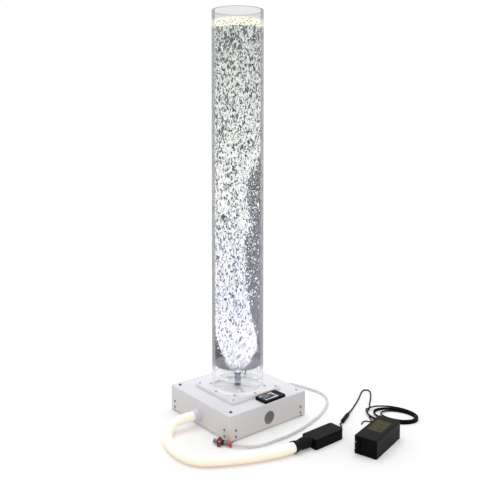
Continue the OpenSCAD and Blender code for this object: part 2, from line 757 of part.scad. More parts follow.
lead_pts = [joint_end, joint_end + 3*joint_dir,
    [276, -223.5, floor_line + 1.4], [300, -211, floor_line], [330, -196, floor_line],
    [362, -179, floor_line], [392, -161, floor_line],
    [418, -146, floor_line], [436, -141, floor_line], [445, -149, floor_line],
    [440, -163, floor_line], [422, -181, floor_line], [393, -204, floor_line],
    [366, -223, floor_line], [346, -239, floor_line], coil_first - 4*coil_in_dir, coil_first];
module dc_lead() color("black") swept(smooth(lead_pts, 32, floor_line), lead_r, 8);

psu_dir = [cos(psu_turn), sin(psu_turn), 0];
psu_out = psu_at + (psu_l/2 + relief_len)*psu_dir + [0, 0, psu_lead_z];
tail_up = coil_last[2];
tail_pts = [coil_last, coil_last + 6*coil_out_dir, [303, -263, tail_up], [292, -279, tail_up - 1],
    [286, -303, 3.8], [284, -330, 3.4], [285, -354, 6.5], [283, -374, 14.5],
    psu_out + 10*psu_dir + [0, 0, -1], psu_out + 4*psu_dir, psu_out];
tail_path = smooth(tail_pts, 20, floor_line);
module lead_tail() color("black") swept(tail_path, lead_r, 8);

// twist tie round the tail, its free end lying beside the adapter
tie_i = 8;
tie_r = 1.6;
tie_z = tie_r + 0.4;
tie_at = tail_path[tie_i];
tie_dir = direction(tail_path, tie_i);
tie_pts = [tie_at + [-lead_r - 0.6, 0, 0], tie_at + [-lead_r - 4, 0, -0.6],
    [272, -310, tie_z], [263, -306, tie_z],
    [258, -298, tie_z], [250, -296, tie_z], [240, -299, tie_z], [231, -304, tie_z]];
module lead_tie() color("black") {
    translate(tie_at) rotate([0, 90, atan2(tie_dir[1], tie_dir[0])]) translate([0, 0, -2.5])
        ring(lead_d + 3, lead_d + 0.3, 5, $fn = 32);
    swept(smooth(tie_pts, 14, tie_z), tie_r, 6);
}

module lead_relief() color("black") psu_place()
    translate([psu_l/2 - psu_wall - 1, 0, psu_lead_z]) rotate([0, 90, 0])
        rotate_extrude() polygon([[0, 0], [4, 0], [4, psu_wall + 1.2], [6, psu_wall + 1.2],
            [6, psu_wall + 3], [4.4, psu_wall + 5], [3, relief_len + psu_wall + 1],
            [0, relief_len + psu_wall + 1]]);

// ---------- mains adapter ----------

module psu_place() translate(psu_at) rotate(psu_turn) children();
psu_wall = 2.5;
psu_split = psu_h*0.5;
module psu_shell() difference() {
    soft_box(psu_l, psu_w, psu_h, 4, 2.5);
    translate([0, 0, psu_wall]) linear_extrude(psu_h - 2*psu_wall)
        rounded(psu_l - 2*psu_wall, psu_w - 2*psu_wall, 2);
    translate([-psu_l/2 - 1, boss_y, pin_z]) rotate([0, 90, 0]) cylinder(d = boss_neck, h = psu_wall + 2);
    translate([psu_l/2 - psu_wall - 1, 0, psu_lead_z]) rotate([0, 90, 0])
        cylinder(d = 8 + 2*gap, h = psu_wall + 2);
}

module psu_cover() color("black") psu_place() difference() {
    psu_shell();
    translate([-psu_l, -psu_w, -1]) cube([2*psu_l, 2*psu_w, psu_split + 1]);
}

module psu_case() color("black") psu_place() difference() {
    psu_shell();
    translate([-psu_l, -psu_w, psu_split - 0.3]) cube([2*psu_l, 2*psu_w, psu_h]);
}

module psu_board() color("darkgreen") psu_place() translate([0, 0, psu_wall]) {
    translate([-psu_l/2 + 14, -psu_w/2 + 6, 0]) cube([psu_l - 30, psu_w - 12, 1.6]);
    translate([-10, -14, 1.6]) cube([34, 28, 26]);
    for (i = [0:1]) translate([-42, -12 + 24*i, 1.6]) cylinder(d = 18, h = 30);
    translate([40, -18, 1.6]) cube([3, 36, 24]);
    for (i = [0:2]) translate([52, -12 + 12*i, 1.6]) cylinder(d = 8, h = 16);
}

// oval plug head on the end of the adapter
module plug_boss() color("black") psu_place()
    translate([-psu_l/2, boss_y, pin_z]) rotate([0, -90, 0]) difference() {
        union() {
            linear_extrude(boss_t - 1) rounded(boss_h, boss_w, boss_w/2 - 0.5);
            linear_extrude(boss_t) rounded(boss_h - 1.4, boss_w - 1.4, boss_w/2 - 1.2);
            translate([0, 0, -psu_wall - 1]) cylinder(d = boss_neck - 2*gap, h = psu_wall + 2);
        }
        for (s = [-1, 1]) translate([s*pin_pitch/2, 0, pin_seat])
            cylinder(d = pin_root_d + 2*thread_gap, h = boss_t);
    }

module mains_pins() color("silver") psu_place()
    for (s = [-1, 1])
        translate([-psu_l/2, boss_y, pin_z + s*pin_pitch/2]) rotate([0, -90, 0]) {
            translate([0, 0, pin_seat]) cylinder(d = pin_root_d, h = boss_t - pin_seat);
            translate([0, 0, boss_t]) cylinder(d = pin_d, h = pin_len - 1);
            translate([0, 0, boss_t + pin_len - 1])
                cylinder(d1 = pin_d, d2 = pin_d - 1.6, h = 1, $fn = 32);
        }

// ---------- drain ----------

module drain_elbow() color("white") rotate(drain_turn) difference() {
    union() {
        translate([drain_c, 0, elbow_z]) {
            cylinder(d = drain_d, h = tube_z - elbow_z);
            sphere(d = drain_d);
            rotate([0, 90, 0]) cylinder(d = drain_d, h = elbow_out);
        }
        translate([drain_c, 0, plate_z - 3]) cylinder(d = 14, h = 3);
    }
    translate([drain_c, 0, elbow_z]) {
        cylinder(d = drain_d - 3, h = tube_z - elbow_z + 1);
        rotate([0, 90, 0]) cylinder(d = drain_d - 3, h = elbow_out + 1);
    }
}

elbow_dir = [cos(drain_turn), sin(drain_turn), 0];
elbow_tip = (drain_c + elbow_out)*elbow_dir + [0, 0, elbow_z];
outlet_in = half - wall - 10;
drain_line_pts = [elbow_tip, elbow_tip + 5*elbow_dir, elbow_tip + 11*elbow_dir + [0, 0, -2],
    [103, 50, drain_z + 26], [108, 60, drain_z + 13], [116, 69, drain_z + 4],
    [outlet_in - 10, drain_y - 1, drain_z + 0.4], [outlet_in - 5, drain_y, drain_z],
    [outlet_in, drain_y, drain_z]];
module drain_line() color("gainsboro") swept(smooth(drain_line_pts, 16, 14), 3, 8);

module drain_outlet() color("lightgray")
    translate([outlet_in, drain_y, drain_z]) rotate([0, 90, 0]) difference() {
        union() {
            cylinder(d = drain_d + 4, h = half - outlet_in);
            translate([0, 0, half - outlet_in]) cylinder(d = 20, h = 3);
            translate([0, 0, half - outlet_in + 3]) cylinder(d = 16, h = 4, $fn = 6);
            translate([0, 0, half - outlet_in]) cylinder(d = drain_d + 3, h = outlet_len);
        }
        translate([0, 0, -1]) cylinder(d = drain_d - 3, h = half - outlet_in + outlet_len + 2);
    }

hose_r = drain_d/2;
hose_low = hose_r + 0.2;
valve_dir = [cos(valve_turn), sin(valve_turn), 0];
outlet_x = half + outlet_len;
drain_pts = [[outlet_x, drain_y, drain_z], [outlet_x + 7, drain_y, drain_z],
    [outlet_x + 14, drain_y, drain_z - 1], [205 + sh, 74, 17], [226 + sh, 73, 8.5], [246 + sh, 70, hose_low],
    [264 + sh, 61, hose_low], [279 + sh, 42, hose_low], [290 + sh, 10, hose_low],
    [297 + sh, -26, hose_low], [300 + sh, -62, hose_low], [292 + sh, -96 - sh*0.3, hose_low],
    [268 + sh, -130 - sh*0.7, hose_low], [229 + sh*0.7, -159 - sh, hose_low],
    [172 + sh*0.3, -187 - sh, hose_low], [115, -205 - sh, hose_low], [58, -218 - sh, hose_low],
    [10, -223.5 - sh, hose_low], [-30, -223.5 - sh, hose_low], [-68, -221 - sh, hose_low],
    [-96, -216 - sh, hose_low], [-120, -206 - sh, 5], [-140, -192.5 - sh, 7.4],
    valve_at - 12*valve_dir, valve_at - 6*valve_dir, valve_at];
module drain_hose() color("silver")
    swept(smooth(drain_pts, 50, hose_low), hose_r, 8);

module valve_place() translate(valve_at) rotate(valve_turn) rotate([valve_roll, 0, 0]) children();
module flow() rotate([0, 90, 0]) children();

module hose_collar() color("red") valve_place() flow() difference() {
    union() {
        cylinder(d = valve_d + 4.4, h = 0.6);
        translate([0, 0, 0.6]) cylinder(d = valve_d + 5, h = collar_len - 1.2);
        translate([0, 0, collar_len - 0.6]) cylinder(d = valve_d + 4.4, h = 0.6);
    }
    translate([0, 0, -1]) cylinder(r = vbore_r, h = collar_len + 2);
}

module valve_body() color("silver") valve_place() difference() {
    union() {
        flow() translate([0, 0, collar_len]) cylinder(d = valve_d, h = barrel_end - collar_len);
        for (x = [collar_len + 3, barrel_end - 5])
            flow() translate([0, 0, x]) cylinder(d = valve_d + 1.2, h = 2);
        flow() translate([0, 0, barrel_end - 1]) cylinder(d = 9, h = seal_t + 2);
        flow() translate([0, 0, barrel_end + seal_t])
            cylinder(r = core_r, h = core_end - barrel_end - seal_t);
        flow() translate([0, 0, core_end - 1]) cylinder(d = 10, h = spout_end - core_end + 1);
        flow() translate([0, 0, core_end + 3]) cylinder(d = 13, h = spout_end - core_end - 3);
        translate([valve_core, 0, 0]) cylinder(r = neck_r_v, h = neck_top);
    }
    flow() translate([0, 0, collar_len - 1]) cylinder(r = vbore_r, h = spout_end);
    flow() translate([0, 0, spout_end - 5]) cylinder(d = 9, h = 6);
    translate([valve_core, 0, 0]) {
        sphere(r = vball_r + ball_gap, $fn = 96);
        cylinder(r = vstem_r + run_gap, h = neck_top + 1);
    }
}

module valve_seal() color("black") valve_place() flow()
    translate([0, 0, barrel_end + 0.1]) ring(12.6, 9 + gap, seal_t - 0.2);

// ball and stem in one piece, shown with the way shut
module valve_ball() color("lightgray") valve_place() translate([valve_core, 0, 0])
    difference() {
        union() {
            sphere(r = vball_r, $fn = 96);
            cylinder(r = vstem_r, h = neck_top + handle_t + 0.6);
        }
        rotate([90, 0, 0]) translate([0, 0, -vball_r - 1]) cylinder(r = vbore_r - 0.1, h = 2*vball_r + 2);
    }

module valve_handle() color("maroon") valve_place()
    translate([valve_core, 0, neck_top + gap]) difference() {
        union() {
            translate([0, 1, 0]) linear_extrude(handle_t - 0.4) rounded(13, 26, 6);
            translate([0, 1, handle_t - 0.4]) linear_extrude(0.4) rounded(12, 25, 5.5);
            cylinder(d = 8, h = handle_t + 1);
        }
        translate([0, 0, -1]) cylinder(r = vstem_r + 0.05, h = handle_t + 3);
    }

// ---------- card remote ----------

module remote_place() translate(remote_at) rotate(remote_turn) children();
module remote_plan(cut, r) translate([remote_l/2, remote_w/2])
    rounded(remote_l - 2*cut, remote_w - 2*cut, r);
module key_places() for (i = [0:key_cols - 1], j = [0:key_rows - 1])
    translate([key_from[0] + i*key_pitch[0], key_from[1] + j*key_pitch[1], 0]) children();

tray_w = cell_d + 4;
tray_y = (remote_w - tray_w)/2;
slot_z = 1;
slot_h = 2.7;
module remote_cover() color("black") remote_place() difference() {
    translate([0, 0, mat_z]) linear_extrude(remote_t - mat_z) remote_plan(0, 4);
    translate([0, 0, mat_z - 1]) linear_extrude(mat_t + 1 + press + 0.1) remote_plan(2, 2.5);
    translate([0, 0, mat_z - 1]) linear_extrude(remote_t) key_places()
        rounded(key_size[0] + 0.5, key_size[1] + 0.5, 1.1);
}

module remote_case() color("black") remote_place() difference() {
    linear_extrude(mat_z) remote_plan(0, 4);
    // drawer for the battery tray, open at the far end
    translate([remote_l - tray_l - 1.2, tray_y - gap, slot_z - 0.1])
        cube([tray_l + 3, tray_w + 2*gap, slot_h + 0.2 - 0.1]);
}

module remote_keys() color("gray") remote_place() {
    translate([0, 0, mat_z + press + 0.05]) linear_extrude(mat_t - 0.2) remote_plan(2.3, 2.2);
    key_places() translate([0, 0, mat_z + press + 0.1])
        linear_extrude(remote_t - mat_z - press + 0.7) rounded(key_size[0], key_size[1], 0.9);
}

module battery_tray() color("black") remote_place()
    translate([remote_l - tray_l - 0.9, tray_y, slot_z]) difference() {
        cube([tray_l + 0.9, tray_w, slot_h - 0.1]);
        translate([cell_d/2 + 2, tray_w/2, 0.6]) cylinder(d = cell_d + 0.4, h = slot_h);
        translate([tray_l - 1.2, tray_w/2 - 4, 0.8]) cube([1, 8, slot_h]);
    }

module coin_cell() color("silver") remote_place()
    translate([remote_l - tray_l - 0.9 + cell_d/2 + 2, tray_w/2 + tray_y, slot_z + 0.6]) {
        cylinder(d = cell_d, h = slot_h - 0.8);
    }

// ---------- the whole object ----------

base_housing();
floor_plate();
rubber_feet();
foot_screws();
corner_posts();
top_screws();
screw_caps();
side_screws();
plate_gasket();
flange_plate();
plate_screws();
ring_screw_set();
acrylic_tube();
tube_plug();
plug_seal();
water();
nozzle_body();
nozzle_cap();
nozzle_nut();
check_ball();
light_tray();
led_board();
led_chips();
air_line();
gland();
gland_nut();
glow_conduit();
conduit_boot();
control_lid();
control_tray();
control_board();
air_pump();
lead_grommet();
pigtail();
dc_socket();
dc_plug();
dc_lead();
lead_coil();
lead_tail();
lead_tie();
lead_relief();
psu_cover();
psu_case();
psu_board();
plug_boss();
mains_pins();
drain_elbow();
drain_line();
drain_outlet();
drain_hose();
hose_collar();
valve_body();
valve_seal();
valve_ball();
valve_handle();
remote_cover();
remote_case();
remote_keys();
battery_tray();
coin_cell();
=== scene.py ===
import math
import random

import bpy
import bmesh
import numpy as np
from mathutils import Matrix, Vector, noise


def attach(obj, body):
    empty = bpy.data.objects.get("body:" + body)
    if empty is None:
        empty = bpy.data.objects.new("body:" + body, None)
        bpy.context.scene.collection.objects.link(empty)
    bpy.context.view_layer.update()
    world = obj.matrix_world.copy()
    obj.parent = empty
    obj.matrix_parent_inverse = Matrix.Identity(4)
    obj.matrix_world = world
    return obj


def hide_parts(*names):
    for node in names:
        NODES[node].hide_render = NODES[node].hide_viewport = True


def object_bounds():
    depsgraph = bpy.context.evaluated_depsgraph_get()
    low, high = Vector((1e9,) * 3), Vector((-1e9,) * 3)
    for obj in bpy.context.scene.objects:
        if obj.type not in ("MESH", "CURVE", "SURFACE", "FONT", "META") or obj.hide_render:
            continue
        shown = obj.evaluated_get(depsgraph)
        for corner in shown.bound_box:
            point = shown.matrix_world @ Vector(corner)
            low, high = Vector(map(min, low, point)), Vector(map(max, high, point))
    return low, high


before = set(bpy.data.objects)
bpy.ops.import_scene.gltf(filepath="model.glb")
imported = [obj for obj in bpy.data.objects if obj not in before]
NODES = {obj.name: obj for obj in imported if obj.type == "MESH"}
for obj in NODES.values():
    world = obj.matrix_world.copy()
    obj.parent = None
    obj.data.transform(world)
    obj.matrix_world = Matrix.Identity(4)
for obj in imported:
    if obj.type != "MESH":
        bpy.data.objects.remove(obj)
cad_low, cad_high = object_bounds()
scene = bpy.context.scene
MM = 0.001
TURN = 2 * math.pi

# the water column, in millimetres
WATER_R = 73.2
WATER_LOW, WATER_TOP = 128.3, 1193.0
FOAM_TOP = 1214.8
# the side of the column that the bubbles lean to
LEAN_DIR = Vector((-0.779, 0.627, 0))
# the tube's rim, in metres
TUBE_TOP = cad_high[2]

# ---------- camera ----------

cam_data = bpy.data.cameras.new("camera")
cam = bpy.data.objects.new("camera", cam_data)
scene.collection.objects.link(cam)
cam.location = (-1.2450, -1.5468, 0.8718)
cam.rotation_euler = (math.radians(87.63), 0, math.radians(-38.83))
cam_data.sensor_width = 36
cam_data.lens = 48.35
cam_data.shift_x = 0.0049
cam_data.shift_y = -0.167
cam_data.clip_start = 0.05
cam_data.clip_end = 60
scene.camera = cam


# ---------- node materials ----------

def rgb(r, g, b):
    """Linear colour of an sRGB triple from 0 to 255."""
    def one(c):
        c = c / 255
        return c / 12.92 if c <= 0.04045 else ((c + 0.055) / 1.055) ** 2.4
    return (one(r), one(g), one(b), 1.0)


def shade(colour, k):
    """A colour made lighter or darker by a factor."""
    return tuple(min(1.0, c * k) for c in colour[:3]) + (1.0,)


class Mat:
    """A node material with a Principled shader, and short calls for its nodes."""

    def __init__(self, name):
        self.m = bpy.data.materials.new(name)
        self.m.use_nodes = True
        self.t = self.m.node_tree
        self.b = self.t.nodes["Principled BSDF"]
        self.coords = self.t.nodes.new("ShaderNodeTexCoord")

    def set(self, **values):
        for k, v in values.items():
            self.b.inputs[k.replace("_", " ")].default_value = v
        return self

    def node(self, kind, props=None, **inputs):
        """A new node; its inputs go by their names, or by number as i0, i1 and so on."""
        n = self.t.nodes.new("ShaderNode" + kind)
        for k, v in (props or {}).items():
            setattr(n, k, v)
        for k, v in inputs.items():
            by_number = k[0] == "i" and k[1:].isdigit()
            s = n.inputs[int(k[1:]) if by_number else k.replace("_", " ")]
            if isinstance(v, bpy.types.NodeSocket):
                self.t.links.new(v, s)
            else:
                s.default_value = v
        return n

    def place(self, scale=(1, 1, 1), turn=(0, 0, 0), shift=(0, 0, 0)):
        return self.node("Mapping", Vector=self.coords.outputs["Object"], Scale=scale,
                         Rotation=turn, Location=shift).outputs["Vector"]

    def noise(self, scale, detail=3.0, rough=0.55, vector=None, distortion=0.0):
        return self.node("TexNoise", Vector=vector or self.coords.outputs["Object"], Scale=scale,
                         Detail=detail, Roughness=rough, Distortion=distortion).outputs["Fac"]

    def cells(self, scale, vector=None):
        return self.node("TexVoronoi", Vector=vector or self.coords.outputs["Object"], Scale=scale)

    def ramp(self, value, stops, mode="LINEAR"):
        n = self.node("ValToRGB", Fac=value)
        r = n.color_ramp
        r.interpolation = mode
        while len(r.elements) < len(stops):
            r.elements.new(0.5)
        for e, (at, c) in zip(r.elements, stops):
            e.position = at
            e.color = c if hasattr(c, "__len__") else (c, c, c, 1)
        return n.outputs["Color"]

    def remap(self, value, a, b, c, d, smooth=False):
        return self.node("MapRange", {"interpolation_type": "SMOOTHSTEP" if smooth else "LINEAR"},
                         Value=value, i1=a, i2=b, i3=c, i4=d).outputs[0]

    def math(self, op, a, b):
        return self.node("Math", {"operation": op}, i0=a, i1=b).outputs[0]

    def mix(self, fac, a, b):
        return self.node("Mix", {"data_type": "RGBA"}, i0=fac, i6=a, i7=b).outputs[2]

    def height(self):
        """Height above the floor, in metres."""
        return self.node("SeparateXYZ", Vector=self.coords.outputs["Object"]).outputs[2]

    def up(self):
        """How far the surface faces up, from -1 to 1, in the object's own space."""
        return self.node("SeparateXYZ", Vector=self.coords.outputs["Normal"]).outputs[2]

    def edge(self, blend):
        """How far a wall is seen edge on, from 0 to 1."""
        return self.node("LayerWeight", Blend=blend).outputs["Facing"]

    def toward(self, direction):
        """Distance from the column's axis towards a direction, in metres."""
        return self.node("VectorMath", {"operation": "DOT_PRODUCT"},
                         i0=self.coords.outputs["Object"], i1=tuple(direction)).outputs["Value"]

    def from_axis(self):
        """Distance from the column's axis, in metres."""
        flat = self.node("VectorMath", {"operation": "MULTIPLY"}, i0=self.coords.outputs["Object"],
                         i1=(1, 1, 0)).outputs["Vector"]
        return self.node("VectorMath", {"operation": "LENGTH"}, i0=flat).outputs["Value"]

    def to(self, socket, value):
        self.t.links.new(value, self.b.inputs[socket])
        return self

    def bump(self, value, strength, distance=0.0002):
        n = self.node("Bump", Height=value, Strength=strength, Distance=distance)
        self.t.links.new(n.outputs["Normal"], self.b.inputs["Normal"])
        return self


def surface(name, colour, rough=0.45, metal=0.0, vary=0.05, patch=22.0, grain=0.12,
            grain_scale=900.0, rough_vary=0.07, specular=0.5, coat=0.0):
    """Opaque material: cloudy colour and gloss, with a fine moulded or machined grain."""
    m = Mat(name)
    m.set(Metallic=metal, Specular_IOR_Level=specular, Coat_Weight=coat)
    cloud = m.noise(patch, 4.0)
    m.to("Base Color", m.ramp(cloud, [(0.3, shade(colour, 1 - vary)),
                                      (0.7, shade(colour, 1 + vary * 0.6))]))
    m.to("Roughness", m.remap(m.noise(patch * 6), 0.3, 0.7, rough - rough_vary, rough + rough_vary))
    m.bump(m.noise(grain_scale, 2.0), grain, 0.00012)
    return m.m


def brushed(name, colour, rough):
    """Metal with fine lines from turning or drawing."""
    m = Mat(name)
    m.set(Metallic=1.0)
    lines = m.noise(420.0, 3.0, 0.6, m.place((1, 1, 8)))
    m.to("Base Color", m.ramp(lines, [(0.3, shade(colour, 0.82)), (0.7, shade(colour, 1.1))]))
    m.to("Roughness", m.remap(lines, 0.3, 0.7, rough - 0.08, rough + 0.1))
    m.bump(lines, 0.12, 0.0001)
    return m.m


def glowing(name, colour, strength):
    """Pale plastic with light in it or behind it."""
    m = Mat(name)
    m.set(Roughness=0.4, Emission_Strength=strength)
    c = m.ramp(m.noise(60.0), [(0.3, shade(colour, 0.92)), (0.7, colour)])
    m.to("Base Color", c).to("Emission Color", c)
    return m.m


def silicone_material():
    """Cloudy clear silicone with a faint painted glow, paler where its wall is seen edge on."""
    m = Mat("silicone_clear")
    colour = rgb(240, 240, 236)
    # painted light: a faint glow
    m.set(Roughness=0.3, Emission_Color=colour, Emission_Strength=0.1)
    smear = m.noise(9.0, 2.0)
    m.to("Base Color", m.ramp(smear, [(0.3, shade(colour, 0.95)), (0.7, colour)]))
    m.to("Alpha", m.remap(m.edge(0.3), 0.0, 1.0, 0.55, 0.95))
    m.bump(m.noise(30.0, 1.0), 0.03, 0.0003)
    return m.m


def housing_material():
    """Satin white plastic with painted warm light low down, as from the glowing conduit, and a very fine
    grain.
    """
    m = Mat("housing_white")
    m.set(Specular_IOR_Level=0.35)
    # painted warm light: the lower part is tinted warm, most at the floor
    painted_warm_light = m.remap(m.height(), 0.0, 0.08, 1.0, 0.0)
    cloud = m.noise(7.0, 3.0)
    cool = m.ramp(cloud, [(0.3, rgb(229, 228, 233)), (0.7, rgb(233, 232, 236))])
    # the same white with painted warm light on it
    low = m.ramp(cloud, [(0.3, rgb(234, 228, 223)), (0.7, rgb(239, 233, 228))])
    m.to("Base Color", m.mix(painted_warm_light, cool, low))
    m.to("Roughness", m.remap(m.noise(40.0), 0.3, 0.7, 0.34, 0.5))
    m.bump(m.noise(1400.0, 2.0), 0.06, 0.0001)
    return m.m


def plate_material():
    """Milky clear plate over the lights, with painted light: its sides glow more than its top."""
    m = Mat("plate_milky")
    m.set(Roughness=0.16, Specular_IOR_Level=0.45)
    c = m.ramp(m.noise(12.0), [(0.3, rgb(230, 230, 234)), (0.7, rgb(238, 238, 242))])
    m.to("Base Color", c).to("Emission Color", c)
    # painted light: the sides glow more than the top
    m.to("Emission Strength", m.remap(m.up(), 0.0, 0.6, 0.12, 0.02))
    m.to("Alpha", m.remap(m.up(), -0.2, 0.6, 0.97, 0.92))
    m.bump(m.noise(25.0), 0.02, 0.0003)
    return m.m


def plug_material():
    """Clear plug, lit from below: bright bands near its ends and a grey clear zone between."""
    m = Mat("plug_lit")
    m.set(Roughness=0.1)
    z = m.height()
    bands = m.ramp(m.remap(z, 0.086, 0.128, 0.0, 1.0), [
        (0.0, rgb(250, 250, 248)), (0.06, rgb(205, 208, 206)), (0.4, rgb(206, 209, 207)),
        (0.5, rgb(250, 252, 246)), (0.6, rgb(224, 228, 224)), (0.93, rgb(228, 232, 228)),
        (1.0, rgb(214, 218, 226))])
    soft = m.mix(0.5, bands, m.ramp(m.noise(45.0, 4.0, 0.6, m.place((1, 1, 2.5)), 0.6),
                                    [(0.35, rgb(196, 202, 198)), (0.6, rgb(252, 254, 250))]))
    m.to("Base Color", soft).to("Emission Color", soft)
    m.set(Emission_Strength=0.45)
    edge = m.edge(0.3)
    away = m.remap(m.from_axis(), 0.012, 0.02, 0.15, 1.0, True)
    m.to("Alpha", m.math("MULTIPLY", away, m.remap(edge, 0.0, 1.0, 0.012, 0.42)))
    return m.m


def tube_material():
    """Clear tube with pale edges, a white joint at its foot that glows with painted light, and a lilac
    tint above the water.
    """
    m = Mat("tube_clear")
    m.set(Roughness=0.05, Specular_IOR_Level=0.5)
    z = m.height()
    joint = m.remap(z, 0.0875, 0.094, 1.0, 0.0, True)
    wet = m.remap(z, 0.13, 0.16, 0.0, 1.0, True)
    froth = m.remap(z, (WATER_TOP - 3) * MM, (WATER_TOP + 3) * MM, 0.0, 1.0, True)
    dry = m.remap(z, (FOAM_TOP - 2.8) * MM, (FOAM_TOP + 5.2) * MM, 0.0, 1.0, True)
    rim = m.remap(z, TUBE_TOP - 0.0015, TUBE_TOP - 0.0005, 0.0, 1.0)
    edge = m.edge(0.3)
    # the wall seen edge on has the bubbles behind it painted on, and a painted dark line of shade at its
    # very edge
    fleck = m.ramp(m.noise(190.0, 4.0, 0.65, m.place((1, 1, 0.3))), [
        (0.4, rgb(78, 84, 86)), (0.5, rgb(150, 153, 155)), (0.58, rgb(232, 234, 234))])
    fleck = m.mix(m.remap(z, 0.25, 0.6, 0.0, 1.0, True), rgb(148, 150, 158), fleck)
    fleck = m.mix(m.remap(edge, 0.54, 0.6, 0.0, 1.0), fleck, rgb(92, 94, 100))
    tone = m.mix(wet, rgb(236, 236, 232), fleck)
    tone = m.mix(froth, tone, rgb(238, 238, 218))
    tone = m.mix(dry, tone, rgb(160, 156, 174))
    m.to("Base Color", m.mix(joint, tone, rgb(252, 252, 248)))
    # painted light: the white joint at the foot glows
    m.set(Emission_Color=rgb(250, 250, 244))
    m.to("Emission Strength", m.remap(joint, 0.0, 1.0, 0.0, 0.3))
    alpha = m.remap(edge, 0.4, 0.53, 0.025, 0.88, True)
    alpha = m.math("MULTIPLY", alpha, m.remap(wet, 0.0, 1.0, 0.35, 1.0))
    alpha = m.math("MAXIMUM", alpha, m.remap(joint, 0.0, 1.0, 0.0, 0.75))
    alpha = m.math("MAXIMUM", alpha, m.remap(rim, 0.0, 1.0, 0.0, 0.5))
    m.to("Alpha", m.math("MAXIMUM", alpha, m.remap(dry, 0.0, 1.0, 0.0, 0.13)))
    m.bump(m.noise(30.0, 1.0), 0.03, 0.0003)
    return m.m


def water_material():
    """Clear water, nearly unseen over the plug; above that grey, green-grey on the side that the
    stream leans to and lilac on the other."""
    m = Mat("water_grey")
    m.set(Roughness=0.25, Specular_IOR_Level=0.12)
    z = m.height()
    side = m.remap(m.toward(LEAN_DIR), -0.045, 0.045, 0.0, 1.0, True)
    low = m.mix(side, rgb(114, 113, 128), rgb(34, 44, 46))
    high = m.mix(side, rgb(58, 66, 74), rgb(76, 78, 74))
    tone = m.mix(m.remap(z, 0.26, 0.7, 0.0, 1.0), low, high)
    streak = m.noise(70.0, 3.0, 0.6, m.place((1, 1, 0.25)))
    m.to("Base Color", m.mix(m.remap(streak, 0.4, 0.7, 0.0, 0.3), tone, rgb(118, 122, 132)))
    foot = m.remap(z, 0.153, 0.159, 0.015, 1.0, True)
    thick = m.math("ADD", m.remap(streak, 0.3, 0.75, 0.6, 0.68),
                   m.remap(z, 0.2, 0.3, 0.14, 0.0, True))
    m.to("Alpha", m.math("MULTIPLY", foot, thick))
    return m.m


def plume_material():
    """White rising bubbles that glow with painted light: white cells with grey gaps and dark flecks, more
    of them higher up; low down the gaps are painted lilac shade.
    """
    m = Mat("plume_white")
    m.set(Roughness=0.6, Specular_IOR_Level=0.1)
    z = m.height()
    tall = m.remap(z, 0.30, 0.80, 0.0, 1.0, True)
    top = m.remap(z, 0.80, 1.18, 0.0, 1.0)
    dense = m.remap(z, 0.23, 0.3, 1.0, 0.0, True)
    cells = m.cells(262.0, m.place((1, 1, 0.55), (0.12, 0.2, 0)))
    chance = m.node("SeparateColor", Color=cells.outputs["Color"]).outputs[0]
    streak = m.noise(170.0, 4.0, 0.65, m.place((1, 1, 0.25), (0.35, 0.3, 0)), 0.8)
    drift = m.noise(13.0, 2.0)
    share = m.math("ADD", m.remap(tall, 0.0, 1.0, 0.12, 0.2), m.remap(top, 0.0, 1.0, 0.0, 0.14))
    share = m.math("ADD", share, m.remap(drift, 0.4, 0.65, -0.06, 0.08))
    share = m.math("SUBTRACT", share, m.remap(dense, 0.0, 1.0, 0.0, 0.1))
    level = m.math("ADD", chance, m.remap(streak, 0.3, 0.7, -0.22, 0.22))
    level = m.math("SUBTRACT", level, share)
    spread = m.remap(level, -0.1, 0.4, 0.0, 1.0)
    # low down: lilac painted shade in the gaps
    low = m.ramp(spread, [
        (0.0, rgb(84, 82, 116)), (0.22, rgb(104, 104, 138)), (0.34, rgb(172, 174, 206)),
        (0.62, rgb(208, 212, 234)), (0.8, rgb(255, 254, 255))])
    high = m.ramp(spread, [
        (0.0, rgb(52, 58, 60)), (0.22, rgb(74, 80, 82)), (0.34, rgb(156, 162, 158)),
        (0.62, rgb(208, 213, 210)), (0.8, rgb(252, 254, 250))])
    body = m.mix(tall, low, high)
    body = m.mix(m.remap(top, 0.0, 1.0, 0.0, 0.3), body, rgb(130, 134, 124))
    m.to("Base Color", m.mix(0.7, body, rgb(60, 60, 64)))
    m.to("Emission Color", body)
    # painted light: the stream glows, brightest just above the plug and dimmer right at it
    strength = m.remap(z, 0.2, 0.3, 4.4, 2.5)
    m.to("Emission Strength", m.math("MULTIPLY", strength, m.remap(z, 0.132, 0.16, 0.3, 1.0)))
    m.bump(m.math("ADD", cells.outputs["Distance"], streak), 0.5, 0.002)
    return m.m


def bubble_material(name, colour, glow, rough=0.3):
    """Bubbles that glow a fifth as much beside the nozzle as above it."""
    m = Mat(name)
    m.set(Roughness=rough)
    m.to("Emission Strength", m.remap(m.height(), 0.14, 0.165, 0.2 * glow, glow))
    c = m.ramp(m.noise(90.0), [(0.35, shade(colour, 0.85)), (0.65, colour)])
    m.to("Base Color", c).to("Emission Color", c)
    return m.m


def foam_material():
    """Cream froth of small cells, a few of them dark; it glows with painted light."""
    m = Mat("foam_cream")
    m.set(Roughness=0.5)
    cells = m.cells(330.0)
    pick = m.node("SeparateColor", Color=cells.outputs["Color"]).outputs[0]
    c = m.ramp(pick, [
        (0.0, rgb(120, 118, 100)), (0.1, rgb(212, 210, 188)), (0.3, rgb(248, 247, 230)),
        (0.8, rgb(255, 254, 246))], "CONSTANT")
    m.to("Base Color", c).to("Emission Color", c)
    # painted light: the froth glows
    m.set(Emission_Strength=0.45)
    m.bump(cells.outputs["Distance"], 0.6, 0.0015)
    return m.m


